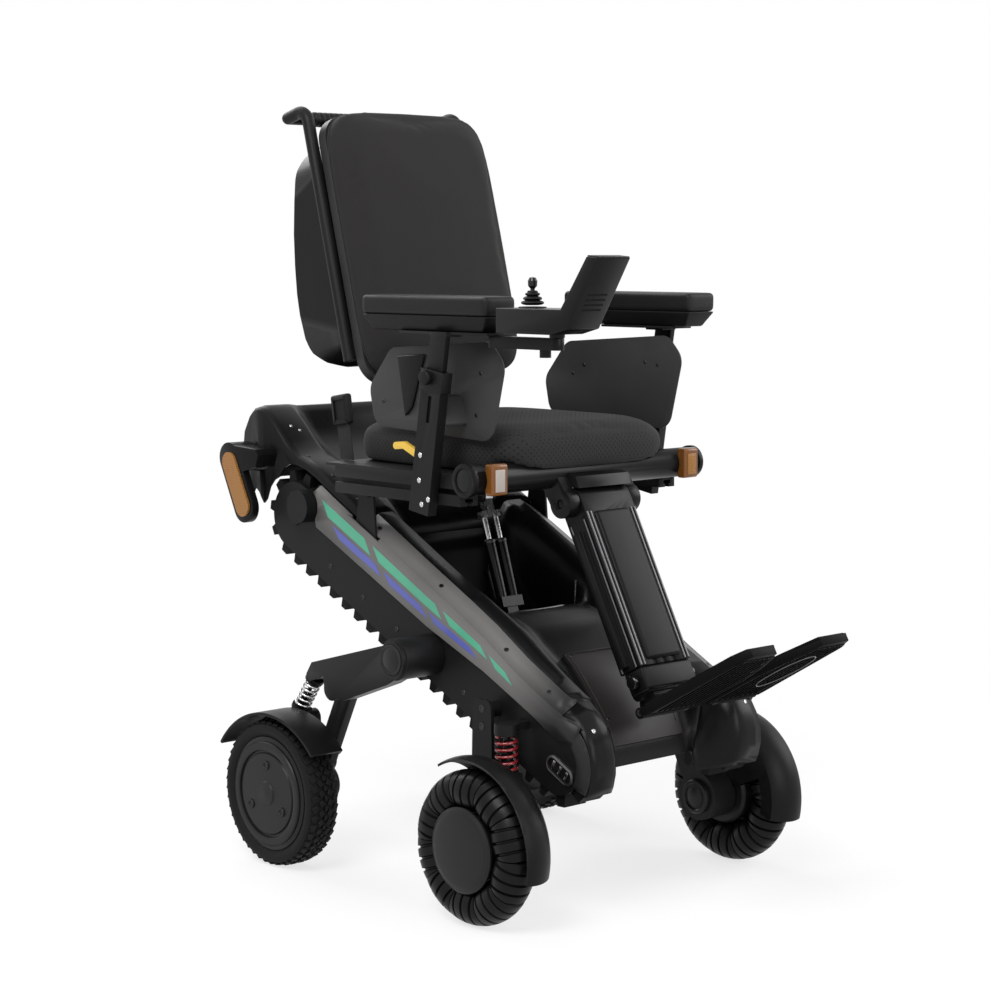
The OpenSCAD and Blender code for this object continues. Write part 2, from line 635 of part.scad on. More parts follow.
// seat frame: slotted rails, pan, hinge brackets and ears
module seat_frame() {
  x0 = rail_x0;
  x1 = rail_x1;
  z0 = rail_z0;
  z1 = rail_z0 + rail_h;
  color(coal) place() difference() {
    union() {
      translate([-x1, -159, z1]) cube([2 * x1, 346, 5]);
      translate([-80, 186, z1]) cube([160, back_pivot[0] - 171, 5]);
      both() {
        along_y(-159, 162) difference() {
          translate([x0, z0]) square([rail_w, rail_h]);
          translate([x1 - 7, z0 + rail_h / 2 - 4.5]) square([8, 9]);
          translate([x1 - 12, z0 + rail_h / 2 - 8.5]) square([5.5, 17]);
          translate([x0 + rail_w / 2 - 4.5, z0 - 1]) square([9, 8]);
          translate([x0 + rail_w / 2 - 8.5, z0 + 6]) square([17, 6]);
          translate([x0 - 1, z0 + rail_h / 2 - 4.5]) square([8, 9]);
        }
        plate(body_half_w - 14, body_half_w - 0.5 - gap) {
          disc(seat_pivot, 20);
          polygon([[116, z1 + 1], [116, 662], [156, 662], [170, z1 + 1]]);
        }
        rod(8, body_half_w - 1, body_half_w + 6.5, seat_pivot);
        plate(10, 16) {
          disc(act_top, 12);
          polygon([act_top + [-12, 0], act_top + [12, 0], [84, z1 + 1], [36, z1 + 1]]);
        }
        plate(70.4, 77) {
          disc(back_pivot, 15);
          polygon([back_pivot + [-15, 0], back_pivot + [15, 0], [back_pivot[0] + 15, pan_z - 1],
            [back_pivot[0] - 24, pan_z - 1]]);
        }
        rod(6, 59.5, 71, back_pivot);
        plate(234, 240) rpoly([[-66, pan_z], [-54, pan_z], [-58, 727], [-62, 727]], 8);
        rod(4, 239, 249.5, [-60, 728]);
      }
      rod(6, -12, 12, act_top);
    }
    translate([-300, -200, pan_z - 30]) cube([600, 41, 60]);
  }
}
// moulded crossbar with capped ends and cheeks that hold the leg column
module front_beam() {
  h = bar_len / 2;
  color(black) place() difference() {
    union() {
      rod(bar_d / 2, -h + 8, h - 8, bar);
      both() {
        rod(bar_d / 2 + 2.5, h - 9, h, bar);
        plate(leg_w / 2 + 2, leg_w / 2 + 24) {
          disc(leg_pivot, 24);
          polygon([leg_pivot + [-24, 0], leg_pivot + [10, -22], [-163, 690], [-168, 714], [-204, 703]]);
        }
        plate(leg_w / 2 + 23, 180) polygon([[-208, 700], [-205, 688], [-196, 680], [-172, 680], [-164, 690]]);
      }
      plate(-leg_w / 2 - 3, leg_w / 2 + 3)
        polygon([[-238, 678.5], [-196, 678.5], [-190, 696], [-204, 703], [-230, 697]]);
    }
    both() {
      rod(bar_d / 2 - 5, h - 2, h + 1, bar);
      rod(8 + fit, leg_w / 2 + 1, leg_w / 2 + 25, leg_pivot);
    }
  }
}
module beam_lamps() {
  color(amber) place() both() difference() {
    plate(206, 240) rrect(bar[0] - 39, bar[0] - 21, 676, 727, 5);
    rod(bar_d / 2 + 0.2, 200, 250, bar);
  }
}
module seat_cushion() {
  h = cushion_len / 2;
  color(cloth) place() difference() {
    translate([0, cushion_y0 + h, pan_z + 0.1])
      rings(padrings(cushion_w / 2, h, 0.34, cushion_t, cushion_crown, 48));
    rod(bar_d / 2 + 0.3, -300, 300, bar, $fn = 32);
  }
}
module lean() { translate([0, post_foot[0], post_foot[1]]) rotate([post_lean, 0, 0]) children(); }
// hollow uprights clamped to the rails
module arm_posts() {
  color(coal) place() both() lean() difference() {
    union() {
      translate([post_x0, -post_w / 2, 0]) cube([18, post_w, post_top]);
      translate([post_x0 - 2, -post_w / 2 + 4, 22]) cube([3, post_w - 8, 30]);
      translate([post_x0 - 2, -post_w / 2 - 3, post_top - 34]) cube([22, post_w + 6, 34]);
    }
    translate([post_x0 + 4, -post_w / 2 + 5, 60]) cube([10, post_w - 10, 300]);
    translate([post_x0 + 12, -4, 150]) cube([10, 8, 44]);
  }
}
module arm_stem(y0) {
  color(coal) place() {
    intersection() {
      lean() translate([post_x0 + 4.2, -post_w / 2 + 5.2, 70]) cube([9.6, post_w - 10.4, 260]);
      translate([200, -300, 600]) cube([100, 400, pad_z - 602]);
    }
    translate([pad_x - 26, y0, pad_z - 4]) cube([52, pad_front + 217 - y0, 4]);
    translate([pad_x, -144, pad_z - 8]) cube([post_x0 + 14 - pad_x, 40, 8]);
  }
}
module arm_pad() {
  color(black) place() translate([pad_x, pad_front + pad_len / 2, pad_z + 0.1])
    rings(padrings(pad_w / 2, pad_len / 2, 0.3, pad_t - 6, 6, 40));
}
module side_guards() {
  color(coal) place() both() {
    plate(204, 207)
      rpoly([[-164, 789], [83, 799], [89, 828], [50, 874], [-171, 889], [-185, 874]], guard_round);
    plate(206.5, post_x0) rpoly([[-122, 788], [-88, 788], [-88, 826], [-106, 826]], 6);
  }
}
module release_lever() {
  color(yellow) place() plate(240.5, 249) difference() {
    union() {
      disc([-60, 728], 9);
      bar2d([-60, 728], [-16, 746], 6);
      bar2d([-16, 746], [4, 744], 6);
    }
    disc([-60, 728], 4 + fit);
  }
}

// twin electric cylinders that tilt the seat
act_len = norm(act_top - act_base);
module act() {
  translate([0, act_base[0], act_base[1]])
    rotate([-atan2(act_top[0] - act_base[0], act_top[1] - act_base[1]), 0, 0]) children();
}
module actuator_barrel() {
  color(black) place() act() {
    difference() {
      union() {
        rotate([0, 90, 0]) translate([0, 0, -13.5]) cylinder(r = 12, h = 27);
        translate([-12, -8, 0]) cube([24, 16, 30]);
        translate([-24, -12, 26]) cube([48, 24, 18]);
        both() translate([13, 0, 40]) cylinder(r = 10, h = 105);
      }
      both() translate([13, 0, 50]) cylinder(r = 5 + fit, h = 120);
    }
    rotate([0, 90, 0]) translate([0, 0, -19]) cylinder(r = 5, h = 38);
  }
}
module actuator_rod() {
  color(steel) place() act() difference() {
    union() {
      both() translate([13, 0, 75]) cylinder(r = 5, h = 115);
      translate([-20, -8, 186]) cube([40, 16, 12]);
      translate([-8, -8, 197]) cube([16, 16, act_len - 197]);
      translate([0, 0, act_len]) rotate([0, 90, 0]) translate([0, 0, -8]) cylinder(r = 13, h = 16);
    }
    translate([0, 0, act_len]) rotate([0, 90, 0]) cylinder(r = 8, h = 60, center = true);
  }
}

// backrest frame in one with the push handle
module back() { translate([0, back_base[0], back_base[1]]) rotate([-recline, 0, 0]) children(); }
tube_x = 174;
bend = 24;
grip_h = 572;
reach = 30;
hinge_n = (back_pivot - back_base) * [cos(recline), -sin(recline)];
hinge_h = (back_pivot - back_base) * [sin(recline), cos(recline)];
module back_frame() {
  r = tube_d / 2;
  color(black) place() back() {
    both() {
      translate([tube_x, 0, 144]) cylinder(r = r, h = grip_h - 144);
      translate([tube_x, bend, grip_h]) rotate([0, 90, 0]) rotate([0, 0, 180])
        rotate_extrude(angle = 90) translate([bend, 0]) circle(r);
      translate([tube_x, bend, grip_h + bend]) rotate([-90, 0, 0]) cylinder(r = r, h = reach);
      translate([tube_x, bend + reach, grip_h + bend]) sphere(r);
      plate(60, 70) difference() {
        union() {
          bar2d([3, 102], [hinge_n, hinge_h], 13);
          polygon([[-10, 100], [16, 102], [-3.4, 138], [-3.4, 165], [-10, 165]]);
        }
        disc([hinge_n, hinge_h], 6 + fit);
      }
    }
    translate([-tube_x, bend + reach, grip_h + bend]) rotate([0, 90, 0]) cylinder(r = r, h = 2 * tube_x);
    translate([-tube_x, 0.2 - r, 147]) cube([2 * tube_x, r - 3.6, 34]);
  }
}
module back_panel() {
  r = tube_d / 2;
  color(coal) place() back() along_y(-31, -r - 0.2)
    rrect(-back_w / 2 + 15, back_w / 2 - 15, 98, 98 + back_len, 46);
}
module back_cushion() {
  color(cloth) place() back() translate([0, -31.1, 100 + back_len / 2]) rotate([90, 0, 0])
    rings(padrings(back_w / 2, back_len / 2 + 2, 0.3, 38, 22, 48));
}
// bulged hollow case behind the backrest, closed by the back panel
module rear_case() {
  w = back_w / 2 - 21;
  edge = [[-3, 545], [30, 546], [54, 536], [74, 505], [92, 455], [109, 400], [121, 345], [129, 295],
    [131, 258], [127, 213], [116, 184], [96, 162], [68, 147], [28, 142], [-3, 142]];
  color(black) place() back() difference() {
    intersection() {
      plate(-w, w) polygon(edge);
      along_y(-20, 150) rrect(-w, w, 142, 546, 60);
    }
    intersection() {
      plate(4 - w, w - 4) polygon([for (p = edge) [0.96 * p[0] - 1.2, 345 + 0.975 * (p[1] - 345)]]);
      along_y(-20, 150) rrect(4 - w, w - 4, 147, 541, 56);
    }
  }
}

// powered controls on the right arm
module controller_arm() {
  color(black) place() difference() {
    translate([-pad_x, 0, pad_z - 23]) linear_extrude(18.6) bar2d([0, ctrl_y], [0, link_y], 11);
    translate([-pad_x, link_y, pad_z - 20]) cylinder(r = 5 + fit, h = 20);
    translate([-pad_x, ctrl_y, pad_z - 20]) cylinder(r = 5 + fit, h = 20);
  }
  color(black) place() translate([-pad_x, -338, pad_z - 35]) cylinder(r = 9, h = 13);
}
module controller_housing() {
  color(black) place() {
    plate(-pad_x - 35, -pad_x + 35) polygon([[-262, 937], [-385, 937], [-420, 946], [-486, 1054],
      [-462, 1056], [-406, 976], [-262, 976]]);
    translate([-pad_x, ctrl_y, pad_z - 18]) cylinder(r = 5, h = 22);
    translate([-pad_x, ctrl_y, pad_z - 4]) cylinder(r = 12, h = 8);
  }
}
module joystick_boot() {
  color(black) place() translate([stick[0], stick[1], 976.2]) rotate_extrude()
    polygon([[16, 0], [22, 0], [22, 4], [18, 6], [20, 9], [20, 12], [15, 14], [17, 17], [17, 19], [11, 21],
      [12, 24], [9, 27], [3.8, 27], [3.8, 22], [14, 4]]);
}
module joystick_stick() {
  color(coal) place() translate([stick[0], stick[1], 0]) rotate_extrude()
    polygon([[0, 984], [3.5, 984], [3.5, 1006], [7, 1010], [7.5, 1018], [5, 1023], [0, 1024]]);
}

// leg rest hanging from the front beam
module leg() { translate([0, leg_pivot[0], leg_pivot[1]]) rotate([-leg_lean, 0, 0]) children(); }
module leg_column() {
  w = leg_w / 2;
  t = leg_t / 2;
  color(coal) place() leg() difference() {
    union() {
      rotate([0, 90, 0]) translate([0, 0, -w]) cylinder(r = t, h = leg_w);
      rotate([0, 90, 0]) translate([0, 0, -w - 22]) cylinder(r = 8, h = leg_w + 44);
      translate([-w, -t, -leg_len]) cube([leg_w, leg_t, leg_len]);
      both() translate([w - 1, -2, -leg_len + 8]) cube([10, 14, leg_len - 60]);
    }
    translate([-w + 6, -t + 6, -leg_len - 1]) cube([leg_w - 12, leg_t - 12, leg_len - 50]);
    both() translate([18, -t - 1, -leg_len - 1]) cube([8, 3, leg_len - 30]);
    translate([-3, -t - 1, -leg_len - 1]) cube([6, 3, leg_len - 30]);
    both() translate([w - 2, -t + 5, -leg_len - 1]) cube([3, 8, leg_len - 30]);
  }
}
module leg_slider() {
  w = leg_w / 2 - 6.2;
  t = leg_t / 2 - 6.2;
  color(black) place() difference() {
    union() {
      leg() translate([-w, -t, -leg_len - 42]) cube([2 * w, 2 * t, 190]);
      plate(-40, 40)
        rpoly([leg_end + [-27, -36.7], leg_end + [-13, -58.7], leg_end + [-9, -22.7]], 9);
      both() {
        plate(28, 40) bar2d(leg_end + [-19, -43.7], foot_pivot, 9);
        rod(5, 39, 62, foot_pivot);
        rod(11, 39, 50, leg_end + [-7, -38.7]);
      }
    }
  }
}
module footplate(s) {
  color(black) place() side(s) translate([0, foot_pivot[0], foot_pivot[1]]) difference() {
    union() {
      rotate([-foot_tilt, 0, 0]) mirror([0, 1, 0]) translate([0, 0, -7]) linear_extrude(13)
        polygon([[41, 0], [134, 0], [136, 24], [128, foot_len - 30], [112, foot_len], [54, foot_len - 4],
          [24, foot_len * 0.72], [9, foot_len * 0.5], [9, 12], [41, 12]]);
      rotate([0, 90, 0]) translate([0, 0, 41]) cylinder(r = 9, h = 92);
    }
    rotate([0, 90, 0]) translate([0, 0, 38]) cylinder(r = 5 + fit, h = 26);
  }
}

module rear_arm_right() { side(-1) rear_arm(); }
module rear_arm_left() { side(1) rear_arm(); }
module rear_link_right() { side(-1) rear_link(); }
module rear_link_left() { side(1) rear_link(); }
module rear_fender_right() { side(-1) rear_fender(); }
module rear_fender_left() { side(1) rear_fender(); }
module rear_spring_right() { side(-1) rear_spring(); }
module rear_spring_left() { side(1) rear_spring(); }
module rear_tyre_right() { side(-1) rear_tyre(); }
module rear_tyre_left() { side(1) rear_tyre(); }
module rear_rim_right() { side(-1) rear_rim(); }
module rear_rim_left() { side(1) rear_rim(); }
module front_arm_right() { side(-1) front_arm(); }
module front_arm_left() { side(1) front_arm(); }
module front_fender_right() { side(-1) front_fender(); }
module front_fender_left() { side(1) front_fender(); }
module front_spring_right() { side(-1) front_spring(); }
module front_spring_left() { side(1) front_spring(); }
module omni_hub_right() { side(-1) omni_hub(); }
module omni_hub_left() { side(1) omni_hub(); }
module omni_rollers_right() { side(-1) omni_rollers(); }
module omni_rollers_left() { side(1) omni_rollers(); }
module release_lever_right() { side(-1) release_lever(); }
module release_lever_left() { side(1) release_lever(); }
module arm_stem_right() {
  side(-1) arm_stem(pad_front + 4);
  color(coal) place() translate([-pad_x, link_y, pad_z - 19]) cylinder(r = 5, h = 17);
}
module arm_stem_left() { side(1) arm_stem(pad_front + 50); }
module arm_pad_right() { side(-1) arm_pad(); }
module arm_pad_left() { side(1) arm_pad(); }
module footplate_right() { footplate(-1); }
module footplate_left() { footplate(1); }

chassis_frame();
centre_cover();
battery_cover();
rear_cover();
side_panels();
track_belts();
rear_pods();
pod_reflectors();
battery_pack();
track_motor();
drive_axle();
idler_axle();
rear_arm_right();
rear_arm_left();
rear_link_right();
rear_link_left();
rear_fender_right();
rear_fender_left();
rear_spring_right();
rear_spring_left();
rear_tyre_right();
rear_tyre_left();
rear_rim_right();
rear_rim_left();
front_arm_right();
front_arm_left();
front_fender_right();
front_fender_left();
front_spring_right();
front_spring_left();
omni_hub_right();
omni_hub_left();
omni_rollers_right();
omni_rollers_left();
seat_frame();
front_beam();
beam_lamps();
seat_cushion();
arm_posts();
side_guards();
release_lever_right();
release_lever_left();
actuator_barrel();
actuator_rod();
back_frame();
back_panel();
back_cushion();
rear_case();
arm_stem_right();
arm_stem_left();
arm_pad_right();
arm_pad_left();
controller_arm();
controller_housing();
joystick_boot();
joystick_stick();
leg_column();
leg_slider();
footplate_right();
footplate_left();
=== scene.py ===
import json
import math
import bmesh
import bpy
from mathutils import Matrix, Vector
from mathutils.bvhtree import BVHTree


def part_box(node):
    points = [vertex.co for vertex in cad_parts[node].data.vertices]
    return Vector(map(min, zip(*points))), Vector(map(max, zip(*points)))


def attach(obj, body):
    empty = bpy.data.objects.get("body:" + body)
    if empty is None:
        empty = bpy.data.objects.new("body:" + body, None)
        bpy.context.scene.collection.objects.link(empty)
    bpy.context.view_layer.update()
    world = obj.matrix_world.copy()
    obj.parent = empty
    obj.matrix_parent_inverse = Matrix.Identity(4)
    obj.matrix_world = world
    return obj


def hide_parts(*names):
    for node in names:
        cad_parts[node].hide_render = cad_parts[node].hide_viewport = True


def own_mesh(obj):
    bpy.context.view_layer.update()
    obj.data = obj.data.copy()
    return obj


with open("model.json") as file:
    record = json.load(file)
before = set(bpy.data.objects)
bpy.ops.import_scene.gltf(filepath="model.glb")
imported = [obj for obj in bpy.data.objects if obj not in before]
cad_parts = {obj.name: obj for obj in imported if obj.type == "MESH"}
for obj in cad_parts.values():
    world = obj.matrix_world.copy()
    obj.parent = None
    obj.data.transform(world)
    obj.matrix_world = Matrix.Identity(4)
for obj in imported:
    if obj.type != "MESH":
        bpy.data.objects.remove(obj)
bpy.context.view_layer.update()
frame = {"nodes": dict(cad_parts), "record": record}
cadNodes = frame["nodes"]
print("frame loaded with", len(cadNodes), "nodes")

# the four wheels give the middle of the wheelbase, and places are in millimetres from there
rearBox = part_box("rear_tyre_right")
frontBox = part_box("omni_rollers_right")
baseY = (rearBox[0].y + rearBox[1].y + frontBox[0].y + frontBox[1].y) / 4
sides = {"right": -1, "left": 1}


def spot(x, y, z):
    return Vector((x / 1000, y / 1000 + baseY, z / 1000))


# picking and finishing
weldGap = 0.00001


def clearPick():
    if bpy.context.object and bpy.context.object.mode != "OBJECT":
        bpy.ops.object.mode_set(mode="OBJECT")
    bpy.ops.object.select_all(action="DESELECT")


def pickPiece(piece):
    clearPick()
    piece.select_set(True)
    bpy.context.view_layer.objects.active = piece


def namePiece(name):
    piece = bpy.context.object
    piece.name = name
    piece.data.name = name
    return piece


def settle(piece):
    pickPiece(piece)
    bpy.ops.object.transform_apply(location=True, rotation=True, scale=True)
    return piece


def pickFaces(piece, test):
    pickPiece(piece)
    bpy.ops.object.mode_set(mode="EDIT")
    bpy.ops.mesh.select_mode(type="FACE")
    bpy.ops.mesh.select_all(action="DESELECT")
    mesh = bmesh.from_edit_mesh(piece.data)
    for face in mesh.faces:
        if test(face):
            face.select_set(True)
    mesh.select_flush_mode()
    bmesh.update_edit_mesh(piece.data)


def closeMesh(piece):
    pickPiece(piece)
    bpy.ops.object.mode_set(mode="EDIT")
    bpy.ops.mesh.select_all(action="SELECT")
    bpy.ops.mesh.remove_doubles(threshold=weldGap)
    bpy.ops.mesh.normals_make_consistent(inside=False)
    bpy.ops.object.mode_set(mode="OBJECT")


def useModifier(piece, kind, **values):
    pickPiece(piece)
    tool = piece.modifiers.new(kind.lower(), kind)
    for key, value in values.items():
        setattr(tool, key, value)
    bpy.ops.object.modifier_apply(modifier=tool.name)


def softenEdges(piece, width, steps=2, angle=35):
    useModifier(piece, "BEVEL", width=width, segments=steps, limit_method="ANGLE",
                angle_limit=math.radians(angle))


def joinPieces(pieces, name):
    clearPick()
    for piece in pieces:
        piece.select_set(True)
    bpy.context.view_layer.objects.active = pieces[0]
    if len(pieces) > 1:
        bpy.ops.object.join()
    return namePiece(name)


def twin(piece, place):
    other = piece.copy()
    other.data = piece.data.copy()
    other.data.transform(place)
    bpy.context.scene.collection.objects.link(other)
    return other


def repeatPiece(piece, places, name):
    twins = [twin(piece, place) for place in places]
    bpy.data.objects.remove(piece)
    return joinPieces(twins, name)


def finishPiece(piece, body, slotName, material, *replaced, angle=35):
    piece.data.materials.clear()
    piece.data.materials.append(material)
    pickPiece(piece)
    bpy.ops.object.shade_smooth_by_angle(angle=math.radians(angle))
    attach(piece, body)
    if replaced:
        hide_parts(*replaced)
    return piece


# starting shapes

def roundBlock(name, size, place, soft, steps=3, turn=(0, 0, 0)):
    clearPick()
    bpy.ops.mesh.primitive_cube_add(size=1, location=place, rotation=turn)
    piece = namePiece(name)
    piece.scale = size
    bpy.ops.object.transform_apply(location=False, rotation=False, scale=True)
    bpy.ops.object.mode_set(mode="EDIT")
    bpy.ops.mesh.select_all(action="SELECT")
    bpy.ops.mesh.bevel(offset=soft, segments=steps, affect="EDGES")
    bpy.ops.object.mode_set(mode="OBJECT")
    return settle(piece)


def startPoint(name, place):
    clearPick()
    bpy.ops.mesh.primitive_plane_add(size=0.001)
    piece = namePiece(name)
    bpy.ops.object.mode_set(mode="EDIT")
    bpy.ops.mesh.select_mode(type="VERT")
    bpy.ops.mesh.select_all(action="SELECT")
    bpy.ops.mesh.merge(type="CENTER")
    bpy.ops.transform.translate(value=place)
    return piece


def drawOn(points):
    for here, there in zip(points, points[1:]):
        bpy.ops.mesh.extrude_region_move(TRANSFORM_OT_translate={"value": there - here})


def turnedPiece(name, profile, centre, axis, steps=48):
    points = [Vector((r / 1000, 0, h / 1000)) for r, h in profile]
    piece = startPoint(name, points[0])
    drawOn(points)
    bpy.ops.mesh.select_all(action="SELECT")
    bpy.ops.mesh.spin(steps=steps, angle=math.tau, center=(0, 0, 0), axis=(0, 0, 1))
    bpy.ops.object.mode_set(mode="OBJECT")
    closeMesh(piece)
    piece.rotation_euler = Vector(axis).to_track_quat("Z", "Y").to_euler()
    piece.location = centre
    return settle(piece)


def sideSlab(name, outline, x0, x1, soft=0.0, steps=2):
    points = [spot(x0, y, z) for y, z in outline]
    piece = startPoint(name, points[0])
    drawOn(points)
    bpy.ops.mesh.select_all(action="SELECT")
    bpy.ops.mesh.edge_face_add()
    bpy.ops.mesh.extrude_region_move(TRANSFORM_OT_translate={"value": ((x1 - x0) / 1000, 0, 0)})
    bpy.ops.object.mode_set(mode="OBJECT")
    closeMesh(piece)
    if soft:
        softenEdges(piece, soft, steps)
    return piece


def tubePiece(name, points, radius, closed=False):
    clearPick()
    bpy.ops.curve.primitive_nurbs_path_add()
    piece = namePiece(name)
    line = piece.data
    line.splines.clear()
    path = line.splines.new("POLY")
    path.points.add(len(points) - 1)
    for knot, place in zip(path.points, points):
        knot.co = (*place, 1)
    path.use_cyclic_u = closed
    line.bevel_depth = radius
    line.bevel_resolution = 2 if closed else 3
    line.use_fill_caps = True
    pickPiece(piece)
    bpy.ops.object.convert(target="MESH")
    piece = bpy.context.object
    closeMesh(piece)
    return piece


coilMesh = {"wireSides": 10, "stepsPerTurn": 22}


def coilPiece(name, bottom, top, radius, wire, turns):
    way = top - bottom
    steps = coilMesh["stepsPerTurn"] * turns
    clearPick()
    bpy.ops.mesh.primitive_circle_add(vertices=coilMesh["wireSides"], radius=wire, location=(radius, 0, wire),
                                      rotation=(math.pi / 2, 0, 0))
    piece = settle(namePiece(name))
    useModifier(piece, "SCREW", axis="Z", angle=math.tau * turns, screw_offset=way.length - 2 * wire,
                steps=steps, render_steps=steps, iterations=1, use_merge_vertices=False)
    pickPiece(piece)
    bpy.ops.object.mode_set(mode="EDIT")
    bpy.ops.mesh.select_all(action="SELECT")
    bpy.ops.mesh.fill_holes(sides=coilMesh["wireSides"])
    bpy.ops.object.mode_set(mode="OBJECT")
    closeMesh(piece)
    piece.rotation_euler = way.to_track_quat("Z", "Y").to_euler()
    piece.location = bottom
    return settle(piece)


# shared shader groups

def setSockets(node, values):
    for label, value in values.items():
        node.inputs[label].default_value = value


def newGroup(name, ins, outs):
    group = bpy.data.node_groups.new(name, "ShaderNodeTree")
    for way, sockets in (("INPUT", ins), ("OUTPUT", outs)):
        for label, kind in sockets.items():
            group.interface.new_socket(label, in_out=way, socket_type="NodeSocket" + kind)
    start = group.nodes.new("NodeGroupInput")
    end = group.nodes.new("NodeGroupOutput")
    return group, start, end


def addNode(tree, kind, links=(), **values):
    node = tree.nodes.new(kind)
    for key, value in values.items():
        if hasattr(node, key):
            setattr(node, key, value)
        else:
            node.inputs[key].default_value = value
    for socket, source in links:
        tree.links.new(source, node.inputs[socket])
    return node


def mathNode(tree, work, a, b=None, clamp=False):
    node = tree.nodes.new("ShaderNodeMath")
    node.operation = work
    node.use_clamp = clamp
    for place, value in enumerate((a, b)):
        if value is None:
            continue
        if isinstance(value, (int, float)):
            node.inputs[place].default_value = value
        else:
            tree.links.new(value, node.inputs[place])
    return node.outputs[0]


def weighSum(tree, a, shareA, b, shareB, clamp=False):
    return mathNode(tree, "ADD", mathNode(tree, "MULTIPLY", a, shareA),
                    mathNode(tree, "MULTIPLY", b, shareB), clamp)


def noiseNode(group, start, scale, detail, rough=0.5):
    node = addNode(group, "ShaderNodeTexNoise", [("Vector", start.outputs["Vector"])], Detail=detail,
                   Roughness=rough)
    if isinstance(scale, float):
        node.inputs["Scale"].default_value = scale
    else:
        group.links.new(scale, node.inputs["Scale"])
    return node.outputs[0]


def buildGrain():
    group, start, end = newGroup("mouldGrain", {"Vector": "Vector", "Scale": "Float"},
                                 {"Height": "Float", "Tone": "Float"})
    fine = noiseNode(group, start, start.outputs["Scale"], 4.0, 0.65)
    cells = addNode(group, "ShaderNodeTexVoronoi", [("Vector", start.outputs["Vector"]),
                    ("Scale", mathNode(group, "MULTIPLY", start.outputs["Scale"], 0.6))])
    wide = noiseNode(group, start, 9.0, 5.0, 0.6)
    group.links.new(weighSum(group, fine, 0.6, cells.outputs["Distance"], 0.5), end.inputs["Height"])
    group.links.new(weighSum(group, wide, 0.75, fine, 0.25, True), end.inputs["Tone"])
    return group


def buildDust():
    group, start, end = newGroup("restingDust", {"Vector": "Vector", "Normal": "Vector", "Amount": "Float"},
                                 {"Mask": "Float"})
    split = addNode(group, "ShaderNodeSeparateXYZ", [(0, start.outputs["Normal"])])
    patch = noiseNode(group, start, 38.0, 7.0, 0.7)
    up = mathNode(group, "MULTIPLY", mathNode(group, "MAXIMUM", split.outputs[2], 0.0), 0.8)
    up = mathNode(group, "ADD", up, 0.2)
    spread = mathNode(group, "MULTIPLY", up, patch)
    group.links.new(mathNode(group, "MULTIPLY", spread, start.outputs["Amount"], True), end.inputs["Mask"])
    return group


def buildMesh():
    group, start, end = newGroup("spacerMesh", {"Vector": "Vector", "Normal": "Vector", "Scale": "Float"},
                                 {"Height": "Float", "Holes": "Float"})
    place = addNode(group, "ShaderNodeSeparateXYZ", [(0, start.outputs["Vector"])])
    facing = addNode(group, "ShaderNodeSeparateXYZ", [(0, start.outputs["Normal"])])
    waves = [mathNode(group, "SINE", mathNode(group, "MULTIPLY", place.outputs[i], start.outputs["Scale"]))
             for i in range(3)]
    total = None
    for one, two, away in ((0, 1, 2), (0, 2, 1), (1, 2, 0)):
        weight = mathNode(group, "POWER", mathNode(group, "ABSOLUTE", facing.outputs[away]), 2.0)
        dots = mathNode(group, "MULTIPLY", mathNode(group, "MULTIPLY", waves[one], waves[two]), weight)
        total = dots if total is None else mathNode(group, "ADD", total, dots)
    holes = mathNode(group, "MULTIPLY", mathNode(group, "SUBTRACT", total, 0.25), 1.9, True)
    yarn = noiseNode(group, start, 900.0, 2.0)
    height = mathNode(group, "SUBTRACT", mathNode(group, "MULTIPLY", yarn, 0.3), holes)
    group.links.new(height, end.inputs["Height"])
    group.links.new(holes, end.inputs["Holes"])
    return group


def buildDrawn():
    group, start, end = newGroup("drawnLines", {"Vector": "Vector", "Scale": "Float"},
                                 {"Height": "Float", "Tone": "Float"})
    lines = noiseNode(group, start, start.outputs["Scale"], 3.0, 0.7)
    wide = noiseNode(group, start, 14.0, 3.0)
    group.links.new(lines, end.inputs["Height"])
    group.links.new(weighSum(group, lines, 0.5, wide, 0.5, True), end.inputs["Tone"])
    return group


grainGroup = buildGrain()
dustGroup = buildDust()
meshGroup = buildMesh()
drawnGroup = buildDrawn()


# what every finish is made of

def newMaterial(name):
    material = bpy.data.materials.new(name)
    material.use_nodes = True
    nodes = material.node_tree
    where = nodes.nodes.new("ShaderNodeTexCoord")
    return material, nodes, nodes.nodes["Principled BSDF"], where.outputs


def placeGroup(nodes, group, links, **values):
    return addNode(nodes, "ShaderNodeGroup", links, node_tree=group, **values)


def blendColours(nodes, amount, low, high):
    mix = nodes.nodes.new("ShaderNodeMix")
    mix.data_type = "RGBA"
    nodes.links.new(amount, mix.inputs["Factor"])
    for socket, value in (("A", low), ("B", high)):
        spots = [s for s in mix.inputs if s.name == socket and s.type == "RGBA"]
        if isinstance(value, tuple):
            spots[0].default_value = (*value, 1)
        else:
            nodes.links.new(value, spots[0])
    return [s for s in mix.outputs if s.type == "RGBA"][0]


def spreadValue(nodes, source, low, high):
    span = addNode(nodes, "ShaderNodeMapRange", [("Value", source)])
    setSockets(span, {"From Min": 0.3, "From Max": 0.7, "To Min": low, "To Max": high})
    return span.outputs[0]


def bumpFrom(nodes, height, strength, depth):
    return addNode(nodes, "ShaderNodeBump", [("Height", height)], Strength=strength,
                   Distance=depth).outputs[0]


def shade(colour, amount):
    return tuple(min(1.0, c * amount) for c in colour)


def toned(nodes, tone, colour, drift):
    return blendColours(nodes, spreadValue(nodes, tone, 0.0, 1.0), shade(colour, 1 - drift),
                        shade(colour, 1 + drift))


def feedShader(nodes, shader, base, rough, normal):
    for label, source in (("Base Color", base), ("Roughness", rough), ("Normal", normal)):
        nodes.links.new(source, shader.inputs[label])


# most finishes: a moulded or painted skin with grain, drifting tone and a little dust on top
dustColour = (0.16, 0.155, 0.15)


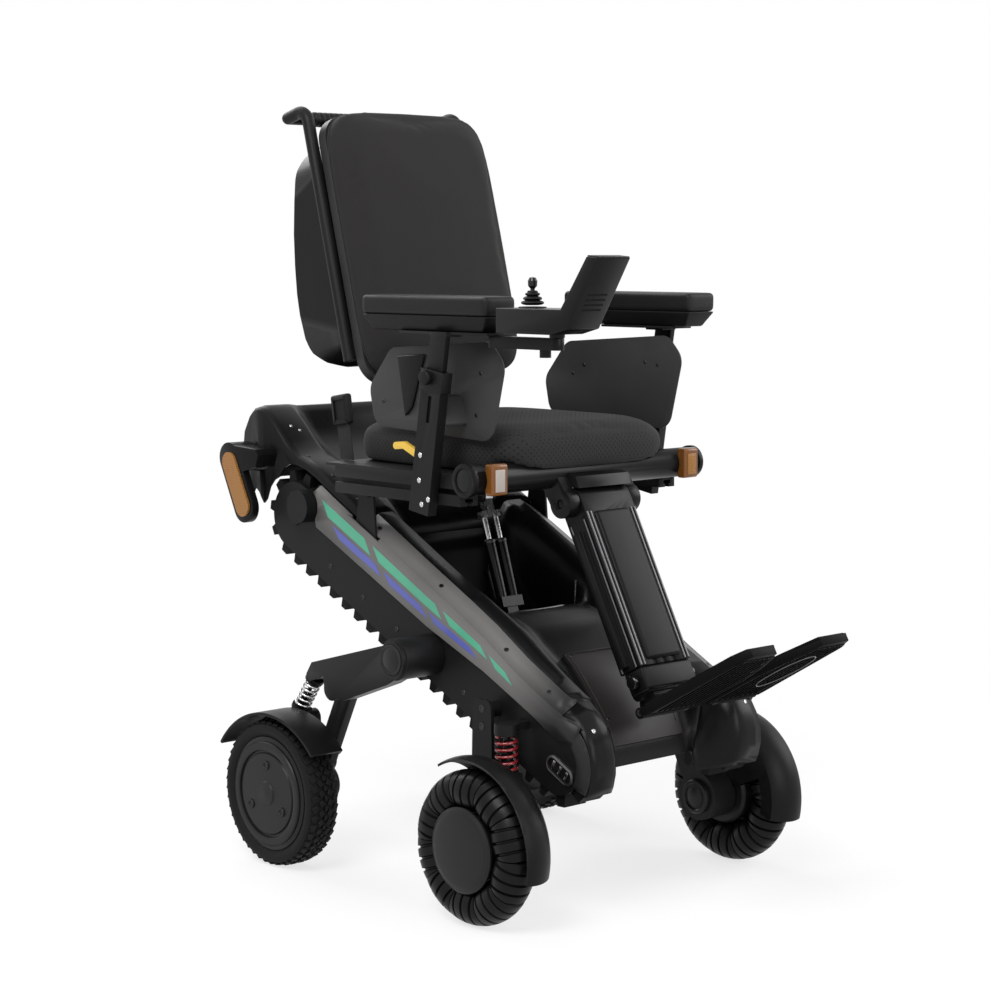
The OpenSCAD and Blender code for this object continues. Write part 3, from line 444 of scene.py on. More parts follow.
def skinFinish(name, colour, rough, scale=1400.0, strength=0.12, drift=0.22, dust=0.1, metal=0.0, coat=0.0,
               specular=0.5, sheen=0.0, paintedShade=None):
    material, nodes, shader, where = newMaterial(name)
    grain = placeGroup(nodes, grainGroup, [("Vector", where["Object"])], Scale=scale).outputs
    settled = placeGroup(nodes, dustGroup, [("Vector", where["Object"]), ("Normal", where["Normal"])],
                         Amount=dust)
    base = toned(nodes, grain["Tone"], colour, drift)
    base = blendColours(nodes, settled.outputs["Mask"], base, dustColour)
    # paintedShade blends the colour to a darker one along y: painted shade, not a colour of the part
    if paintedShade:
        apart = addNode(nodes, "ShaderNodeSeparateXYZ", [("Vector", where["Object"])])
        reach = addNode(nodes, "ShaderNodeMapRange", [("Value", apart.outputs["Y"])],
                        interpolation_type="SMOOTHSTEP")
        setSockets(reach, {"From Min": paintedShade["start"], "From Max": paintedShade["end"]})
        base = blendColours(nodes, reach.outputs[0], base, paintedShade["colour"])
    feedShader(nodes, shader, base, spreadValue(nodes, grain["Tone"], rough - 0.06, rough + 0.06),
               bumpFrom(nodes, grain["Height"], strength, 0.0006))
    setSockets(shader, {"Metallic": metal, "Coat Weight": coat, "Specular IOR Level": specular,
                        "Sheen Weight": sheen})
    return material


def clothFinish(name, colour, scale, strength, holeColour, rough=0.85, sheen=0.25):
    material, nodes, shader, where = newMaterial(name)
    knit = placeGroup(nodes, meshGroup, [("Vector", where["Object"]), ("Normal", where["Normal"])],
                      Scale=scale)
    grain = placeGroup(nodes, grainGroup, [("Vector", where["Object"])], Scale=300.0).outputs
    base = toned(nodes, grain["Tone"], colour, 0.2)
    base = blendColours(nodes, knit.outputs["Holes"], base, holeColour)
    feedShader(nodes, shader, base, spreadValue(nodes, grain["Tone"], rough - 0.05, rough + 0.05),
               bumpFrom(nodes, knit.outputs["Height"], strength, 0.0007))
    setSockets(shader, {"Sheen Weight": sheen, "Sheen Roughness": 0.5, "Specular IOR Level": 0.25})
    return material


def drawnFinish(name, colour, rough, stretch, turn=(0, 0, 0), metal=1.0, strength=0.1, drift=0.15,
                specular=0.5):
    material, nodes, shader, where = newMaterial(name)
    turned = addNode(nodes, "ShaderNodeMapping", [("Vector", where["Object"])], Rotation=turn, Scale=stretch)
    lines = placeGroup(nodes, drawnGroup, [("Vector", turned.outputs[0])], Scale=60.0).outputs
    feedShader(nodes, shader, toned(nodes, lines["Tone"], colour, drift),
               spreadValue(nodes, lines["Tone"], rough - 0.07, rough + 0.07),
               bumpFrom(nodes, lines["Height"], strength, 0.0004))
    setSockets(shader, {"Metallic": metal, "Specular IOR Level": specular})
    return material


def lensFinish(name, colour, pitch):
    material, nodes, shader, where = newMaterial(name)
    prism = addNode(nodes, "ShaderNodeTexVoronoi", [("Vector", where["Object"])], Scale=pitch,
                    Randomness=0.0).outputs["Distance"]
    grain = placeGroup(nodes, grainGroup, [("Vector", where["Object"])], Scale=200.0)
    feedShader(nodes, shader, blendColours(nodes, prism, shade(colour, 1.3), shade(colour, 0.6)),
               spreadValue(nodes, grain.outputs["Tone"], 0.1, 0.2), bumpFrom(nodes, prism, 0.35, 0.001))
    setSockets(shader, {"Coat Weight": 0.2, "Coat Roughness": 0.08, "Specular IOR Level": 0.25})
    return material


columnTurn = (math.radians(28), 0, 0)  # drawn lines run down the leaning leg column
# painted shade: the grey strips are blended to near-black towards the front, standing in for the nose band
# turning away from the light
stripPaintedShade = {"start": -0.205 + baseY, "end": -0.345 + baseY, "colour": (0.012, 0.012, 0.012)}
finishes = {
    "cover": skinFinish("satinCover", (0.005, 0.005, 0.0053), 0.3, 1500, 0.04, 0.15, 0.012, specular=0.12),
    "frame": skinFinish("powderCoat", (0.0065, 0.0065, 0.007), 0.44, 2200, 0.14, 0.2, 0.02, specular=0.14),
    "battery_lid": skinFinish("lidBrown", (0.0165, 0.0142, 0.0138), 0.34, 1500, 0.04, 0.15, 0.015,
                              specular=0.16),
    "side_strip": skinFinish("stripGrey", (0.118, 0.115, 0.112), 0.42, 1500, 0.06, 0.08, 0.02, specular=0.2,
                             paintedShade=stripPaintedShade),
    "belt": skinFinish("trackRubber", (0.0055, 0.0055, 0.0055), 0.62, 900, 0.3, 0.3, 0.04, specular=0.12),
    "reflector": lensFinish("amberLens", (0.27, 0.118, 0.024), 260.0),
    "battery_case": skinFinish("batteryCase", (0.012, 0.012, 0.012), 0.5, specular=0.15),
    "motor_case": skinFinish("blackEnamel", (0.0052, 0.0052, 0.0056), 0.26, 1500, 0.05, dust=0.015,
                             specular=0.2),
    "axle_steel": drawnFinish("groundSteel", (0.56, 0.56, 0.57), 0.26, (40, 3, 3)),
    "arm_metal": skinFinish("castingBlack", (0.008, 0.008, 0.0084), 0.42, 1800, 0.12, 0.2, 0.02,
                            specular=0.15),
    "fender": skinFinish("fenderBlack", (0.0052, 0.0052, 0.0056), 0.38, 2600, 0.16, 0.16, 0.012,
                         specular=0.12),
    "rear_coil": drawnFinish("brightWire", (0.6, 0.6, 0.61), 0.2, (8, 8, 8), strength=0.04),
    "front_coil": skinFinish("redEnamel", (0.2, 0.008, 0.011), 0.26, 1500, 0.04, 0.12, 0.02, coat=0.4),
    "tyre": skinFinish("tyreRubber", (0.0055, 0.0055, 0.0055), 0.62, 700, 0.22, 0.3, 0.05, specular=0.13),
    "wheel_disc": skinFinish("discSatin", (0.0095, 0.0095, 0.0098), 0.38, 1500, 0.05, 0.14, 0.015,
                             specular=0.18),
    "roller": skinFinish("rollerRubber", (0.0034, 0.0034, 0.0034), 0.36, 1100, 0.12, 0.25, 0.015,
                         specular=0.14),
    "lever": skinFinish("leverYellow", (0.62, 0.4, 0.05), 0.4, 1500, 0.06, 0.1, 0.03),
    "pad": skinFinish("padSkin", (0.0062, 0.0062, 0.0064), 0.46, 1000, 0.28, 0.18, 0.02, specular=0.16,
                      sheen=0.02),
    "footplate": skinFinish("footplateBlack", (0.002, 0.002, 0.0022), 0.5, 1800, 0.18, 0.25, 0.01,
                            specular=0.05),
    "mesh_cloth": clothFinish("spacerCloth", (0.0135, 0.013, 0.013), 640.0, 0.6, (0.0012, 0.0012, 0.0012),
                              sheen=0.05),
    "back_cloth": clothFinish("backCloth", (0.0125, 0.0117, 0.0114), 2600.0, 0.25, (0.0085, 0.0079, 0.0077),
                              sheen=0.025),
    "guard": skinFinish("guardGrey", (0.03, 0.03, 0.0305), 0.42, 2000, 0.1, 0.15, 0.02, specular=0.17),
    "boot": skinFinish("bootRubber", (0.0045, 0.0045, 0.0045), 0.5, 900, 0.15, 0.2, 0.02, specular=0.15),
    "knob": skinFinish("knobGloss", (0.005, 0.005, 0.0053), 0.18, 1500, 0.03, 0.1, 0.015, coat=0.25,
                       specular=0.2),
    "column": drawnFinish("anodisedColumn", (0.0055, 0.0055, 0.0058), 0.34, (30, 1.5, 1.5),
                          columnTurn, 0.0, 0.12, 0.2, 0.1),
}
lampAmber = lensFinish("lampAmber", (0.15, 0.055, 0.011), 240.0)
# pale drawn metal: its brightness paints the highlights on the leg column ridges and the well lip; the socket
# rim and the foot wire are also given it
ridgeMetal = drawnFinish("ridgeMetal", (0.11, 0.11, 0.113), 0.32, (30, 1.5, 1.5), columnTurn,
                         0.85)
brightSteel = drawnFinish("screwSteel", (0.6, 0.6, 0.6), 0.25, (12, 12, 12), strength=0.05)
darkSteel = drawnFinish("screwBlack", (0.045, 0.045, 0.047), 0.35, (12, 12, 12), strength=0.05)
stripeGreen = skinFinish("stripeGreen", (0.07, 0.33, 0.21), 0.36, 1500, 0.04, 0.1, 0.02, coat=0.2,
                         specular=0.3)
stripeBlue = skinFinish("stripeBlue", (0.085, 0.1, 0.35), 0.36, 1500, 0.04, 0.1, 0.02, coat=0.2, specular=0.3)
paleGrey = skinFinish("palePlastic", (0.33, 0.285, 0.26), 0.4, 1500, 0.05, 0.08, 0.02)
# near-black used as painted shadow: the charging socket's well, the controller's back slits and the rear case
# seam
paintedShadowBlack = skinFinish("deepShadowBlack", (0.0025, 0.0025, 0.0025), 0.7, 900, 0.1, 0.3, 0.01, specular=0.1)
screenGlass = skinFinish("screenGlass", (0.004, 0.005, 0.007), 0.08, 300, 0.0, 0.2, 0.01, coat=1.0)
pipingCloth = clothFinish("pipingCloth", (0.012, 0.012, 0.012), 3200.0, 0.4, (0.005, 0.005, 0.005), sheen=0.1)
webbing = clothFinish("beltWebbing", (0.008, 0.008, 0.008), 2400.0, 0.6, (0.003, 0.003, 0.003), sheen=0.08)

nodeSlots = {part["node"]: part["material_slot"] for part in frame["record"]["subparts"]}
for nodeName, cadNode in cadNodes.items():
    cadNode.data.materials.clear()
    cadNode.data.materials.append(finishes[nodeSlots[nodeName]])
cadNodes["beam_lamps"].data.materials[0] = lampAmber
print("finishes made:", len(finishes))

# camera, lights and floor
shot = {"place": (-2.717, -2.8617, 1.065), "turn": -42.444, "down": 5.996, "lens": 84.76, "sensor": 36}
bpy.ops.object.select_all(action="DESELECT")
bpy.ops.object.camera_add(location=shot["place"])
camera = bpy.context.object
camera.name = "photoCamera"
turn, down = math.radians(shot["turn"]), math.radians(shot["down"])
backWay = Vector((math.sin(turn) * math.cos(down), -math.cos(turn) * math.cos(down), math.sin(down)))
camera.rotation_euler = (-backWay).to_track_quat("-Z", "Y").to_euler()
camera.data.lens = shot["lens"]
camera.data.sensor_width = shot["sensor"]
bpy.context.scene.camera = camera

softBoxes = {
    "keyBox": {"place": (-2.6, -1.0, 3.2), "size": 1.9, "power": 115},
    "frontBox": {"place": (-0.4, -3.6, 1.7), "size": 2.0, "power": 45},
    "farBox": {"place": (2.9, -1.6, 2.2), "size": 2.2, "power": 60},
    "backBox": {"place": (0.2, 3.0, 3.0), "size": 2.6, "power": 75},
}
lampAim = Vector((0, 0, 0.6))
for boxName, box in softBoxes.items():
    bpy.ops.object.light_add(type="AREA", location=box["place"])
    lamp = bpy.context.object
    lamp.name = boxName
    lamp.data.energy = box["power"]
    lamp.data.size = box["size"]
    lamp.rotation_euler = (lampAim - Vector(box["place"])).to_track_quat("-Z", "Y").to_euler()


def seenRay(nodes):
    rays = nodes.nodes.new("ShaderNodeLightPath").outputs
    seen = rays["Is Camera Ray"]
    for ray in ("Is Glossy Ray", "Is Transmission Ray"):
        seen = mathNode(nodes, "MAXIMUM", seen, rays[ray])
    return seen


skyPlan = {"light": 0.34, "seen": 1.0}  # soft light on the object, plain white where it is looked at
pureWhite = (1, 1, 1, 1)
world = bpy.context.scene.world or bpy.data.worlds.new("studio")
bpy.context.scene.world = world
world.use_nodes = True
sky = world.node_tree
sky.nodes.clear()
soft = addNode(sky, "ShaderNodeBackground", Color=pureWhite, Strength=skyPlan["light"])
white = addNode(sky, "ShaderNodeBackground", Color=pureWhite, Strength=skyPlan["seen"])
either = addNode(sky, "ShaderNodeMixShader", [(0, seenRay(sky)), (1, soft.outputs[0]), (2, white.outputs[0])])
addNode(sky, "ShaderNodeOutputWorld", [(0, either.outputs[0])])

floorPlan = {"size": 60, "drop": -0.0005, "near": 0.7, "far": 2.2, "nearGlow": 0.72, "farGlow": 1.0}
bpy.ops.mesh.primitive_plane_add(size=floorPlan["size"], location=(0, 0, floorPlan["drop"]))
floor = namePiece("studioFloor")
floorMaterial, floorNodes, floorShader, floorWhere = newMaterial("floorWhite")
setSockets(floorShader, {"Roughness": 0.9, "Specular IOR Level": 0.1})
speck = placeGroup(floorNodes, grainGroup, [("Vector", floorWhere["Object"])], Scale=60.0)
floorNodes.links.new(blendColours(floorNodes, speck.outputs["Tone"], (0.9, 0.9, 0.9), (0.94, 0.94, 0.94)),
                     floorShader.inputs["Base Color"])
glow = addNode(floorNodes, "ShaderNodeEmission", Color=pureWhite)
away = addNode(floorNodes, "ShaderNodeVectorMath", [(0, floorWhere["Object"])], operation="LENGTH")
fade = addNode(floorNodes, "ShaderNodeMapRange", [("Value", away.outputs["Value"])],
               interpolation_type="SMOOTHSTEP")
setSockets(fade, {"From Min": floorPlan["near"], "From Max": floorPlan["far"],
                  "To Min": floorPlan["nearGlow"], "To Max": floorPlan["farGlow"]})
lit = mathNode(floorNodes, "MULTIPLY", seenRay(floorNodes), fade.outputs[0])
floorMix = addNode(floorNodes, "ShaderNodeMixShader",
                   [(0, lit), (1, floorShader.outputs[0]), (2, glow.outputs[0])])
floorNodes.links.new(floorMix.outputs[0], floorNodes.nodes["Material Output"].inputs[0])
floor.data.materials.append(floorMaterial)
bpy.context.scene.view_settings.view_transform = "Standard"
print("camera, lamps and floor set")

# cushions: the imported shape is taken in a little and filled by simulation
seatPad = {"node": "seat_cushion", "body": "seat", "slot": "mesh_cloth", "fill": 0.7}
backPad = {"node": "back_cushion", "body": "backrest", "slot": "back_cloth", "fill": 0.75}
filling = {"voxel": 0.006, "shrink": 0.002, "reach": 0.006, "pull": 0.001, "pressure": 4.0, "frames": 20}


def plainCopy(nodeName, name):
    piece = twin(cadNodes[nodeName], Matrix.Identity(4))
    piece.parent = None
    piece.matrix_world = Matrix.Identity(4)
    for key in [k for k in piece.keys() if k.startswith("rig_")]:
        del piece[key]
    piece.name = name
    closeMesh(piece)
    return piece


def swellPad(piece):
    start = [(v.co.copy(), v.normal.copy()) for v in piece.data.vertices]
    cloth = piece.modifiers.new("filling", "CLOTH")
    cloth.settings.use_pressure = True
    cloth.settings.uniform_pressure_force = filling["pressure"]
    cloth.settings.effector_weights.gravity = 0.0
    cloth.settings.quality = 4
    cloth.collision_settings.use_collision = False
    cloth.point_cache.frame_start = 1
    cloth.point_cache.frame_end = filling["frames"]
    for step in range(1, filling["frames"] + 1):
        bpy.context.scene.frame_set(step)
    pickPiece(piece)
    bpy.ops.object.modifier_apply(modifier=cloth.name)
    bpy.context.scene.frame_set(1)
    for vertex, (was, out) in zip(piece.data.vertices, start):
        moved = vertex.co - was
        sunk = -moved.dot(out)
        if sunk > filling["pull"]:
            moved += out * (sunk - filling["pull"])
        if moved.length > filling["reach"]:
            moved = moved.normalized() * filling["reach"]
        vertex.co = was + moved
    piece.data.update()


def fillPad(pad, name):
    piece = plainCopy(pad["node"], name)
    useModifier(piece, "REMESH", mode="VOXEL", voxel_size=filling["voxel"])
    useModifier(piece, "SMOOTH", factor=0.5, iterations=6)
    useModifier(piece, "DISPLACE", strength=-filling["shrink"], mid_level=0.0)
    swellPad(piece)
    useModifier(piece, "SUBSURF", levels=1, render_levels=1)
    finishPiece(piece, pad["body"], pad["slot"], finishes[pad["slot"]], pad["node"], angle=80)
    return piece


fillPad(seatPad, "seatPad")
backPiece = fillPad(backPad, "backPad")
print("cushions filled")

# piping sewn round the side of the back cushion, laid on its filled surface
backLean = {"y": 177.0, "z": 735.0, "lean": 15.0}
pipingPlan = {"middle": 339.0, "halfWide": 181.5, "halfTall": 239.5, "out": -42.5, "square": 0.3,
              "marks": 160,
              "radius": 0.0018}


def leanSpot(plan, x, out, up):
    lean = math.radians(plan["lean"])
    return spot(x, plan["y"] + out * math.cos(lean) + up * math.sin(lean),
                plan["z"] - out * math.sin(lean) + up * math.cos(lean))


def pipingRing():
    ring = []
    for i in range(pipingPlan["marks"]):
        a = math.tau * i / pipingPlan["marks"]
        c, s = math.cos(a), math.sin(a)
        x = pipingPlan["halfWide"] * math.copysign(abs(c) ** pipingPlan["square"], c)
        up = pipingPlan["halfTall"] * math.copysign(abs(s) ** pipingPlan["square"], s)
        ring.append(leanSpot(backLean, x, pipingPlan["out"], pipingPlan["middle"] + up))
    return ring


def surfaceOf(mesh):
    return BVHTree.FromPolygons([v.co for v in mesh.vertices], [f.vertices for f in mesh.polygons])


backSurface = surfaceOf(backPiece.data)
pipingPath = [backSurface.find_nearest(place)[0] for place in pipingRing()]
piping = tubePiece("backPiping", pipingPath, pipingPlan["radius"], True)
finishPiece(piping, "backrest", "back_cloth", pipingCloth)

# arm pads: a soft top over a drawn-in tray
armPad = {"wide": 68.0, "long": 308.0, "x": 233.0, "front": -237.0, "base": 935.1, "fill": 0.9}
padTop = {"low": 25.0, "high": 58.0, "shrink": 0.0, "tuck": (0.99, 0.998, 1), "soft": 0.009, "steps": 5}
padTray = {"low": 0.0, "high": 25.5, "shrink": 2.0, "tuck": (0.66, 0.88, 1), "soft": 0.003, "steps": 3}


def padBlock(name, sign, plan):
    middle = spot(sign * armPad["x"], armPad["front"] + armPad["long"] / 2,
                  armPad["base"] + (plan["low"] + plan["high"]) / 2)
    clearPick()
    bpy.ops.mesh.primitive_cube_add(size=1, location=middle)
    block = namePiece(name)
    block.scale = ((armPad["wide"] - plan["shrink"]) / 1000, (armPad["long"] - plan["shrink"]) / 1000,
                   (plan["high"] - plan["low"]) / 1000)
    settle(block)
    pickFaces(block, lambda f: f.normal.z < -0.5)
    bpy.ops.transform.resize(value=plan["tuck"])
    bpy.ops.object.mode_set(mode="OBJECT")
    useModifier(block, "BEVEL", width=plan["soft"], segments=plan["steps"], limit_method="ANGLE",
                angle_limit=0.3)
    return block


for sideName, sign in sides.items():
    pad = padBlock("armPad." + sideName, sign, padTop)
    useModifier(pad, "SUBSURF", levels=1, render_levels=1)
    finishPiece(pad, "arm_" + sideName, "pad", finishes["pad"], "arm_pad_" + sideName, angle=60)
    tray = padBlock("padTray." + sideName, sign, padTray)
    finishPiece(tray, "arm_" + sideName, "pad", finishes["boot"], angle=40)
print("arm pads moulded")

# springs with their dampers
frontSpring = {"name": "frontCoil.", "body": "front_arm_", "joint": "front_spring_arm_", "slot": "front_coil",
               "node": "front_spring_", "x": 238.0, "y": -255.5, "z": 238.0, "long": 60.0, "lean": 0.0,
               "radius": 16.3, "wire": 2.6, "turns": 5, "keep": 0.915, "damper": 9.0}
rearSpring = {"name": "rearCoil.", "body": "rear_link_", "joint": "rear_spring_link_", "slot": "rear_coil",
              "node": "rear_spring_", "x": 252.0, "y": 258.0, "z": 272.0, "long": 62.0, "lean": 36.0,
              "radius": 13.2, "wire": 2.5, "turns": 5, "keep": 0.94, "damper": 7.0}


def springSet(plan, sideName, sign):
    name, body = plan["name"] + sideName, plan["body"] + sideName
    lean, long, r = math.radians(plan["lean"]), plan["long"], plan["damper"]
    bottom = spot(sign * plan["x"], plan["y"], plan["z"])
    top = bottom + Vector((0, -math.sin(lean), math.cos(lean))) * long / 1000
    coil = coilPiece(name, bottom, top, plan["radius"] / 1000, plan["wire"] / 1000, plan["turns"])
    finishPiece(coil, body, plan["slot"], finishes[plan["slot"]], plan["node"] + sideName, angle=60)
    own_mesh(coil)
    profile = [(0, -2), (r, -2), (r + 1.5, 0), (r + 1.5, long * 0.5), (r, long * 0.53),
               (r * 0.55, long * 0.54),
               (r * 0.55, long + 2), (0, long + 2)]
    damper = turnedPiece(name + "Damper", profile, bottom, top - bottom, 32)
    finishPiece(damper, body, "motor_case", finishes["motor_case"])


for sideName, sign in sides.items():
    springSet(frontSpring, sideName, sign)
    springSet(rearSpring, sideName, sign)
print("springs wound")

# bellows under the joystick, and its foot ring that stays on the controller
bootPlan = {"x": -233.0, "y": -309.0, "z": 976.2, "tall": 27.0, "rings": 3, "first": 5.0, "pitch": 6.6,
            "wide": 18.2, "taper": 3.2, "foot": 22.0, "bore": 16.4}
bootPlace = spot(bootPlan["x"], bootPlan["y"], bootPlan["z"])
bellows = [(0, 4.2), (10.0, 4.2)]
for ring in range(bootPlan["rings"]):
    low = bootPlan["first"] + ring * bootPlan["pitch"]
    wide = bootPlan["wide"] - ring * bootPlan["taper"]
    bellows += [(wide - 3.6, low), (wide - 0.9, low + 1.4), (wide, low + 3.0), (wide - 0.9, low + 4.6),
                (wide - 3.8, low + 6.0)]
bellows += [(8.2, 25.4), (7.6, 26.6), (4.2, bootPlan["tall"]), (0, bootPlan["tall"])]
boot = turnedPiece("joystickBellows", bellows, bootPlace, (0, 0, 1), 40)
finishPiece(boot, "joystick_gimbal", "boot", finishes["boot"], "joystick_boot", angle=50)
bore, wide = bootPlan["bore"], bootPlan["foot"]
footRing = [(bore, 0.2), (wide, 0.2), (wide, 1.2), (wide - 1.2, 2.0), (bore + 0.5, 2.0), (bore, 1.6),
            (bore, 0.2)]
foot = turnedPiece("bellowsFoot", footRing, bootPlace, (0, 0, 1), 40)
finishPiece(foot, "controller", "boot", finishes["boot"], angle=50)
print("bellows made")

# rear tyres with block tread
tyrePlan = {"radius": 128.0, "wide": 62.0, "tread": 4.5, "sunk": 1.2, "blocks": 46, "x": 302.0, "y": 253.5,
            "shoulder": 20.0, "drop": 0.0022, "tip": 0.16, "soft": 0.0009}
treadRows = [(-21.5, 10.0, 10.6, 0.0, 0.34), (-9.0, 9.2, 9.6, 0.5, 0.5), (0.0, 6.0, 9.0, 0.0, 0.0),
             (9.0, 9.2, 9.6, 0.5, -0.5), (21.5, 10.0, 10.6, 0.0, -0.34)]  # across, wide, long, phase, skew


def roundWheel(centre, count, phase=0.0):
    return [Matrix.Translation(centre) @ Matrix.Rotation(math.tau * (i + phase) / count, 4, "X")
            for i in range(count)]


def tyreBody(name, centre):
    r, half = tyrePlan["radius"] - tyrePlan["tread"], tyrePlan["wide"] / 2
    wall = [(99.2, 6), (101, 4), (106, 1), (110, 0), (116, 0), (120, 2), (r - 1.5, 8),
            (r, 16)]  # radius, depth
    profile = [(far, deep - half) for far, deep in wall] + [(far, half - deep) for far, deep in wall[::-1]]
    return turnedPiece(name, profile + profile[:1], centre, (1, 0, 0), 96)


def treadBlocks(name, centre):
    lift = (tyrePlan["tread"] + tyrePlan["sunk"]) / 1000
    made = []
    for across, wide, long, phase, skew in treadRows:
        onShoulder = abs(across) > tyrePlan["shoulder"]
        drop = tyrePlan["drop"] if onShoulder else 0.0
        tip = math.copysign(tyrePlan["tip"], across) if onShoulder else 0.0
        place = (across / 1000, 0, tyrePlan["radius"] / 1000 - lift / 2 - drop)
        block = roundBlock(name, (wide / 1000, long / 1000, lift), place, tyrePlan["soft"], 1, (0, tip, skew))
        made.append(repeatPiece(block, roundWheel(centre, tyrePlan["blocks"], phase), name))
    return joinPieces(made, name)


for sideName, sign in sides.items():
    centre = spot(sign * tyrePlan["x"], tyrePlan["y"], tyrePlan["radius"])
    tyre = joinPieces([tyreBody("tyreCore", centre), treadBlocks("tread", centre)], "tyre." + sideName)
    finishPiece(tyre, "rear_wheel_" + sideName, "tyre", finishes["tyre"], "rear_tyre_" + sideName)
print("tyres cut")

# front wheels: grooved barrels round the rim
rollerPlan = {"radius": 125.0, "ring": 91.0, "count": 10, "x": 302.0, "y": -253.5, "marks": 84,
              "overrun": 1.25,
              "skin": 0.2, "grooves": 5, "groove": 4.0, "spread": 0.8, "narrow": 0.14, "steep": 1.9,
              "parting": 0.0032}


def rollerBarrel(name):
    big, ring, marks = rollerPlan["radius"], rollerPlan["ring"], rollerPlan["marks"]
    half = math.pi / rollerPlan["count"]
    reach = ring * math.tan(half) * rollerPlan["overrun"]
    profile = [(0, -reach)]
    for i in range(marks + 1):
        s = -reach + 2 * reach * i / marks
        outer = math.sqrt(big * big - s * s) - ring - rollerPlan["skin"]
        phase = ((s / reach * rollerPlan["spread"] + 1) / 2 * rollerPlan["grooves"]) % 1.0
        dip = max(0.0, 1 - abs(phase - 0.5) / rollerPlan["narrow"])
        profile.append((outer - rollerPlan["groove"] * min(1.0, dip * rollerPlan["steep"]), s))
    profile.append((0, reach))
    barrel = turnedPiece(name, profile, Vector((0, 0, ring / 1000)), (0, 1, 0), 36)
    for way in (1, -1):  # cut off where the next barrel begins
        pickPiece(barrel)
        bpy.ops.object.mode_set(mode="EDIT")
        bpy.ops.mesh.select_all(action="SELECT")
        normal = (0, way * math.cos(half), -math.sin(half))
        bpy.ops.mesh.bisect(plane_co=(0, 0, rollerPlan["parting"]), plane_no=normal, use_fill=True,
                            clear_outer=True)
        bpy.ops.object.mode_set(mode="OBJECT")
    closeMesh(barrel)
    return barrel


for sideName, sign in sides.items():
    centre = spot(sign * rollerPlan["x"], rollerPlan["y"], rollerPlan["radius"])
    rollers = repeatPiece(rollerBarrel("roller"), roundWheel(centre, rollerPlan["count"]),
                          "rollers." + sideName)
    finishPiece(rollers, "front_wheel_" + sideName, "roller", finishes["roller"], "omni_rollers_" + sideName,
                angle=50)
print("roller wheels made")

# hard pieces shown with their edges broken by so many millimetres, or with only their faces smooth for 0
softPlan = {"controller_housing": 2.2, "controller_arm": 1.5, "arm_posts": 1.6, "arm_stem_right": 1.5,
            "arm_stem_left": 1.5, "front_beam": 1.4, "seat_frame": 1.2, "rear_arm_right": 2.4,
            "rear_arm_left": 2.4, "rear_link_right": 2.0, "rear_link_left": 2.0, "rear_fender_right": 0.9,
            "rear_fender_left": 0.9, "front_fender_right": 0.9, "front_fender_left": 0.9, "leg_column": 1.4,
            "leg_slider": 2.0, "footplate_right": 2.6, "footplate_left": 2.6, "rear_pods": 3.0,
            "side_guards": 0.9, "beam_lamps": 2.4, "release_lever_right": 1.6, "release_lever_left": 1.6,
            "centre_cover": 0, "rear_cover": 0, "battery_cover": 0, "side_panels": 0, "rear_case": 0}
edgePlan = {"flat": 0.6, "sharp": 38, "brokenSmooth": 30, "plainSmooth": 44}
nodeBodies = {node: body for body, nodes in frame["record"]["behaviour"]["bodies"].items() for node in nodes}
for nodeName, width in softPlan.items():
    words = nodeName.split("_")
    piece = plainCopy(nodeName, words[0] + "".join(word.title() for word in words[1:]))
    if width:
        pickFaces(piece, lambda f: True)
        bpy.ops.mesh.dissolve_limited(angle_limit=math.radians(edgePlan["flat"]))
        bpy.ops.object.mode_set(mode="OBJECT")
        softenEdges(piece, width / 1000, 2, edgePlan["sharp"])
    material = cadNodes[nodeName].data.materials[0]
    finishPiece(piece, nodeBodies[nodeName], nodeSlots[nodeName], material, nodeName,
                angle=edgePlan["brokenSmooth"] if width else edgePlan["plainSmooth"])
print("edges softened:", len(softPlan))

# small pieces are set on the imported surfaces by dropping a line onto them
surfaces = {}
castFrom = {"top": 900.0, "side": 400.0}


def meet(nodeName, start, way):
    if nodeName not in surfaces:
        surfaces[nodeName] = surfaceOf(cadNodes[nodeName].data)
    return surfaces[nodeName].ray_cast(start, Vector(way).normalized())[:2]


def fromTop(nodeName, x, y):
    return meet(nodeName, spot(x, y, castFrom["top"]), (0, 0, -1))


def fromSide(nodeName, sign, y, z):
    return meet(nodeName, spot(sign * castFrom["side"], y, z), (-sign, 0, 0))


def standOn(place, normal):
    return Matrix.Translation(place) @ normal.to_track_quat("Z", "Y").to_matrix().to_4x4()


def screwHead(name, r):
    profile = [(0, -0.6), (r, -0.6), (r, 0.5), (r * 0.86, 1.0), (r * 0.56, 1.05), (r * 0.5, 0.3), (0, 0.2)]
    return turnedPiece(name, profile, (0, 0, 0), (0, 0, 1), 18)


def screwSet(name, radius, seats, body, slotName, material):
    places = [standOn(place, normal) for place, normal in seats if place]
    return finishPiece(repeatPiece(screwHead(name, radius), places, name), body, slotName, material)


def sideTrim(name, plan, sideName, sign):
    x, y, z = plan["place"]
    way = -sign if plan.get("inward") else sign
    trim = turnedPiece(name + "." + sideName, plan["profile"], spot(sign * x, y, z), (way, 0, 0),
                       plan["steps"])
    if "soft" in plan:
        useModifier(trim, "BEVEL", width=plan["soft"], segments=2, limit_method="ANGLE", angle_limit=0.5)
    body = plan["body"] + sideName if plan["body"].endswith("_") else plan["body"]
    material = finishes[plan.get("finish", plan["slot"])]
    return finishPiece(trim, body, plan["slot"], material, angle=plan.get("angle", 35))


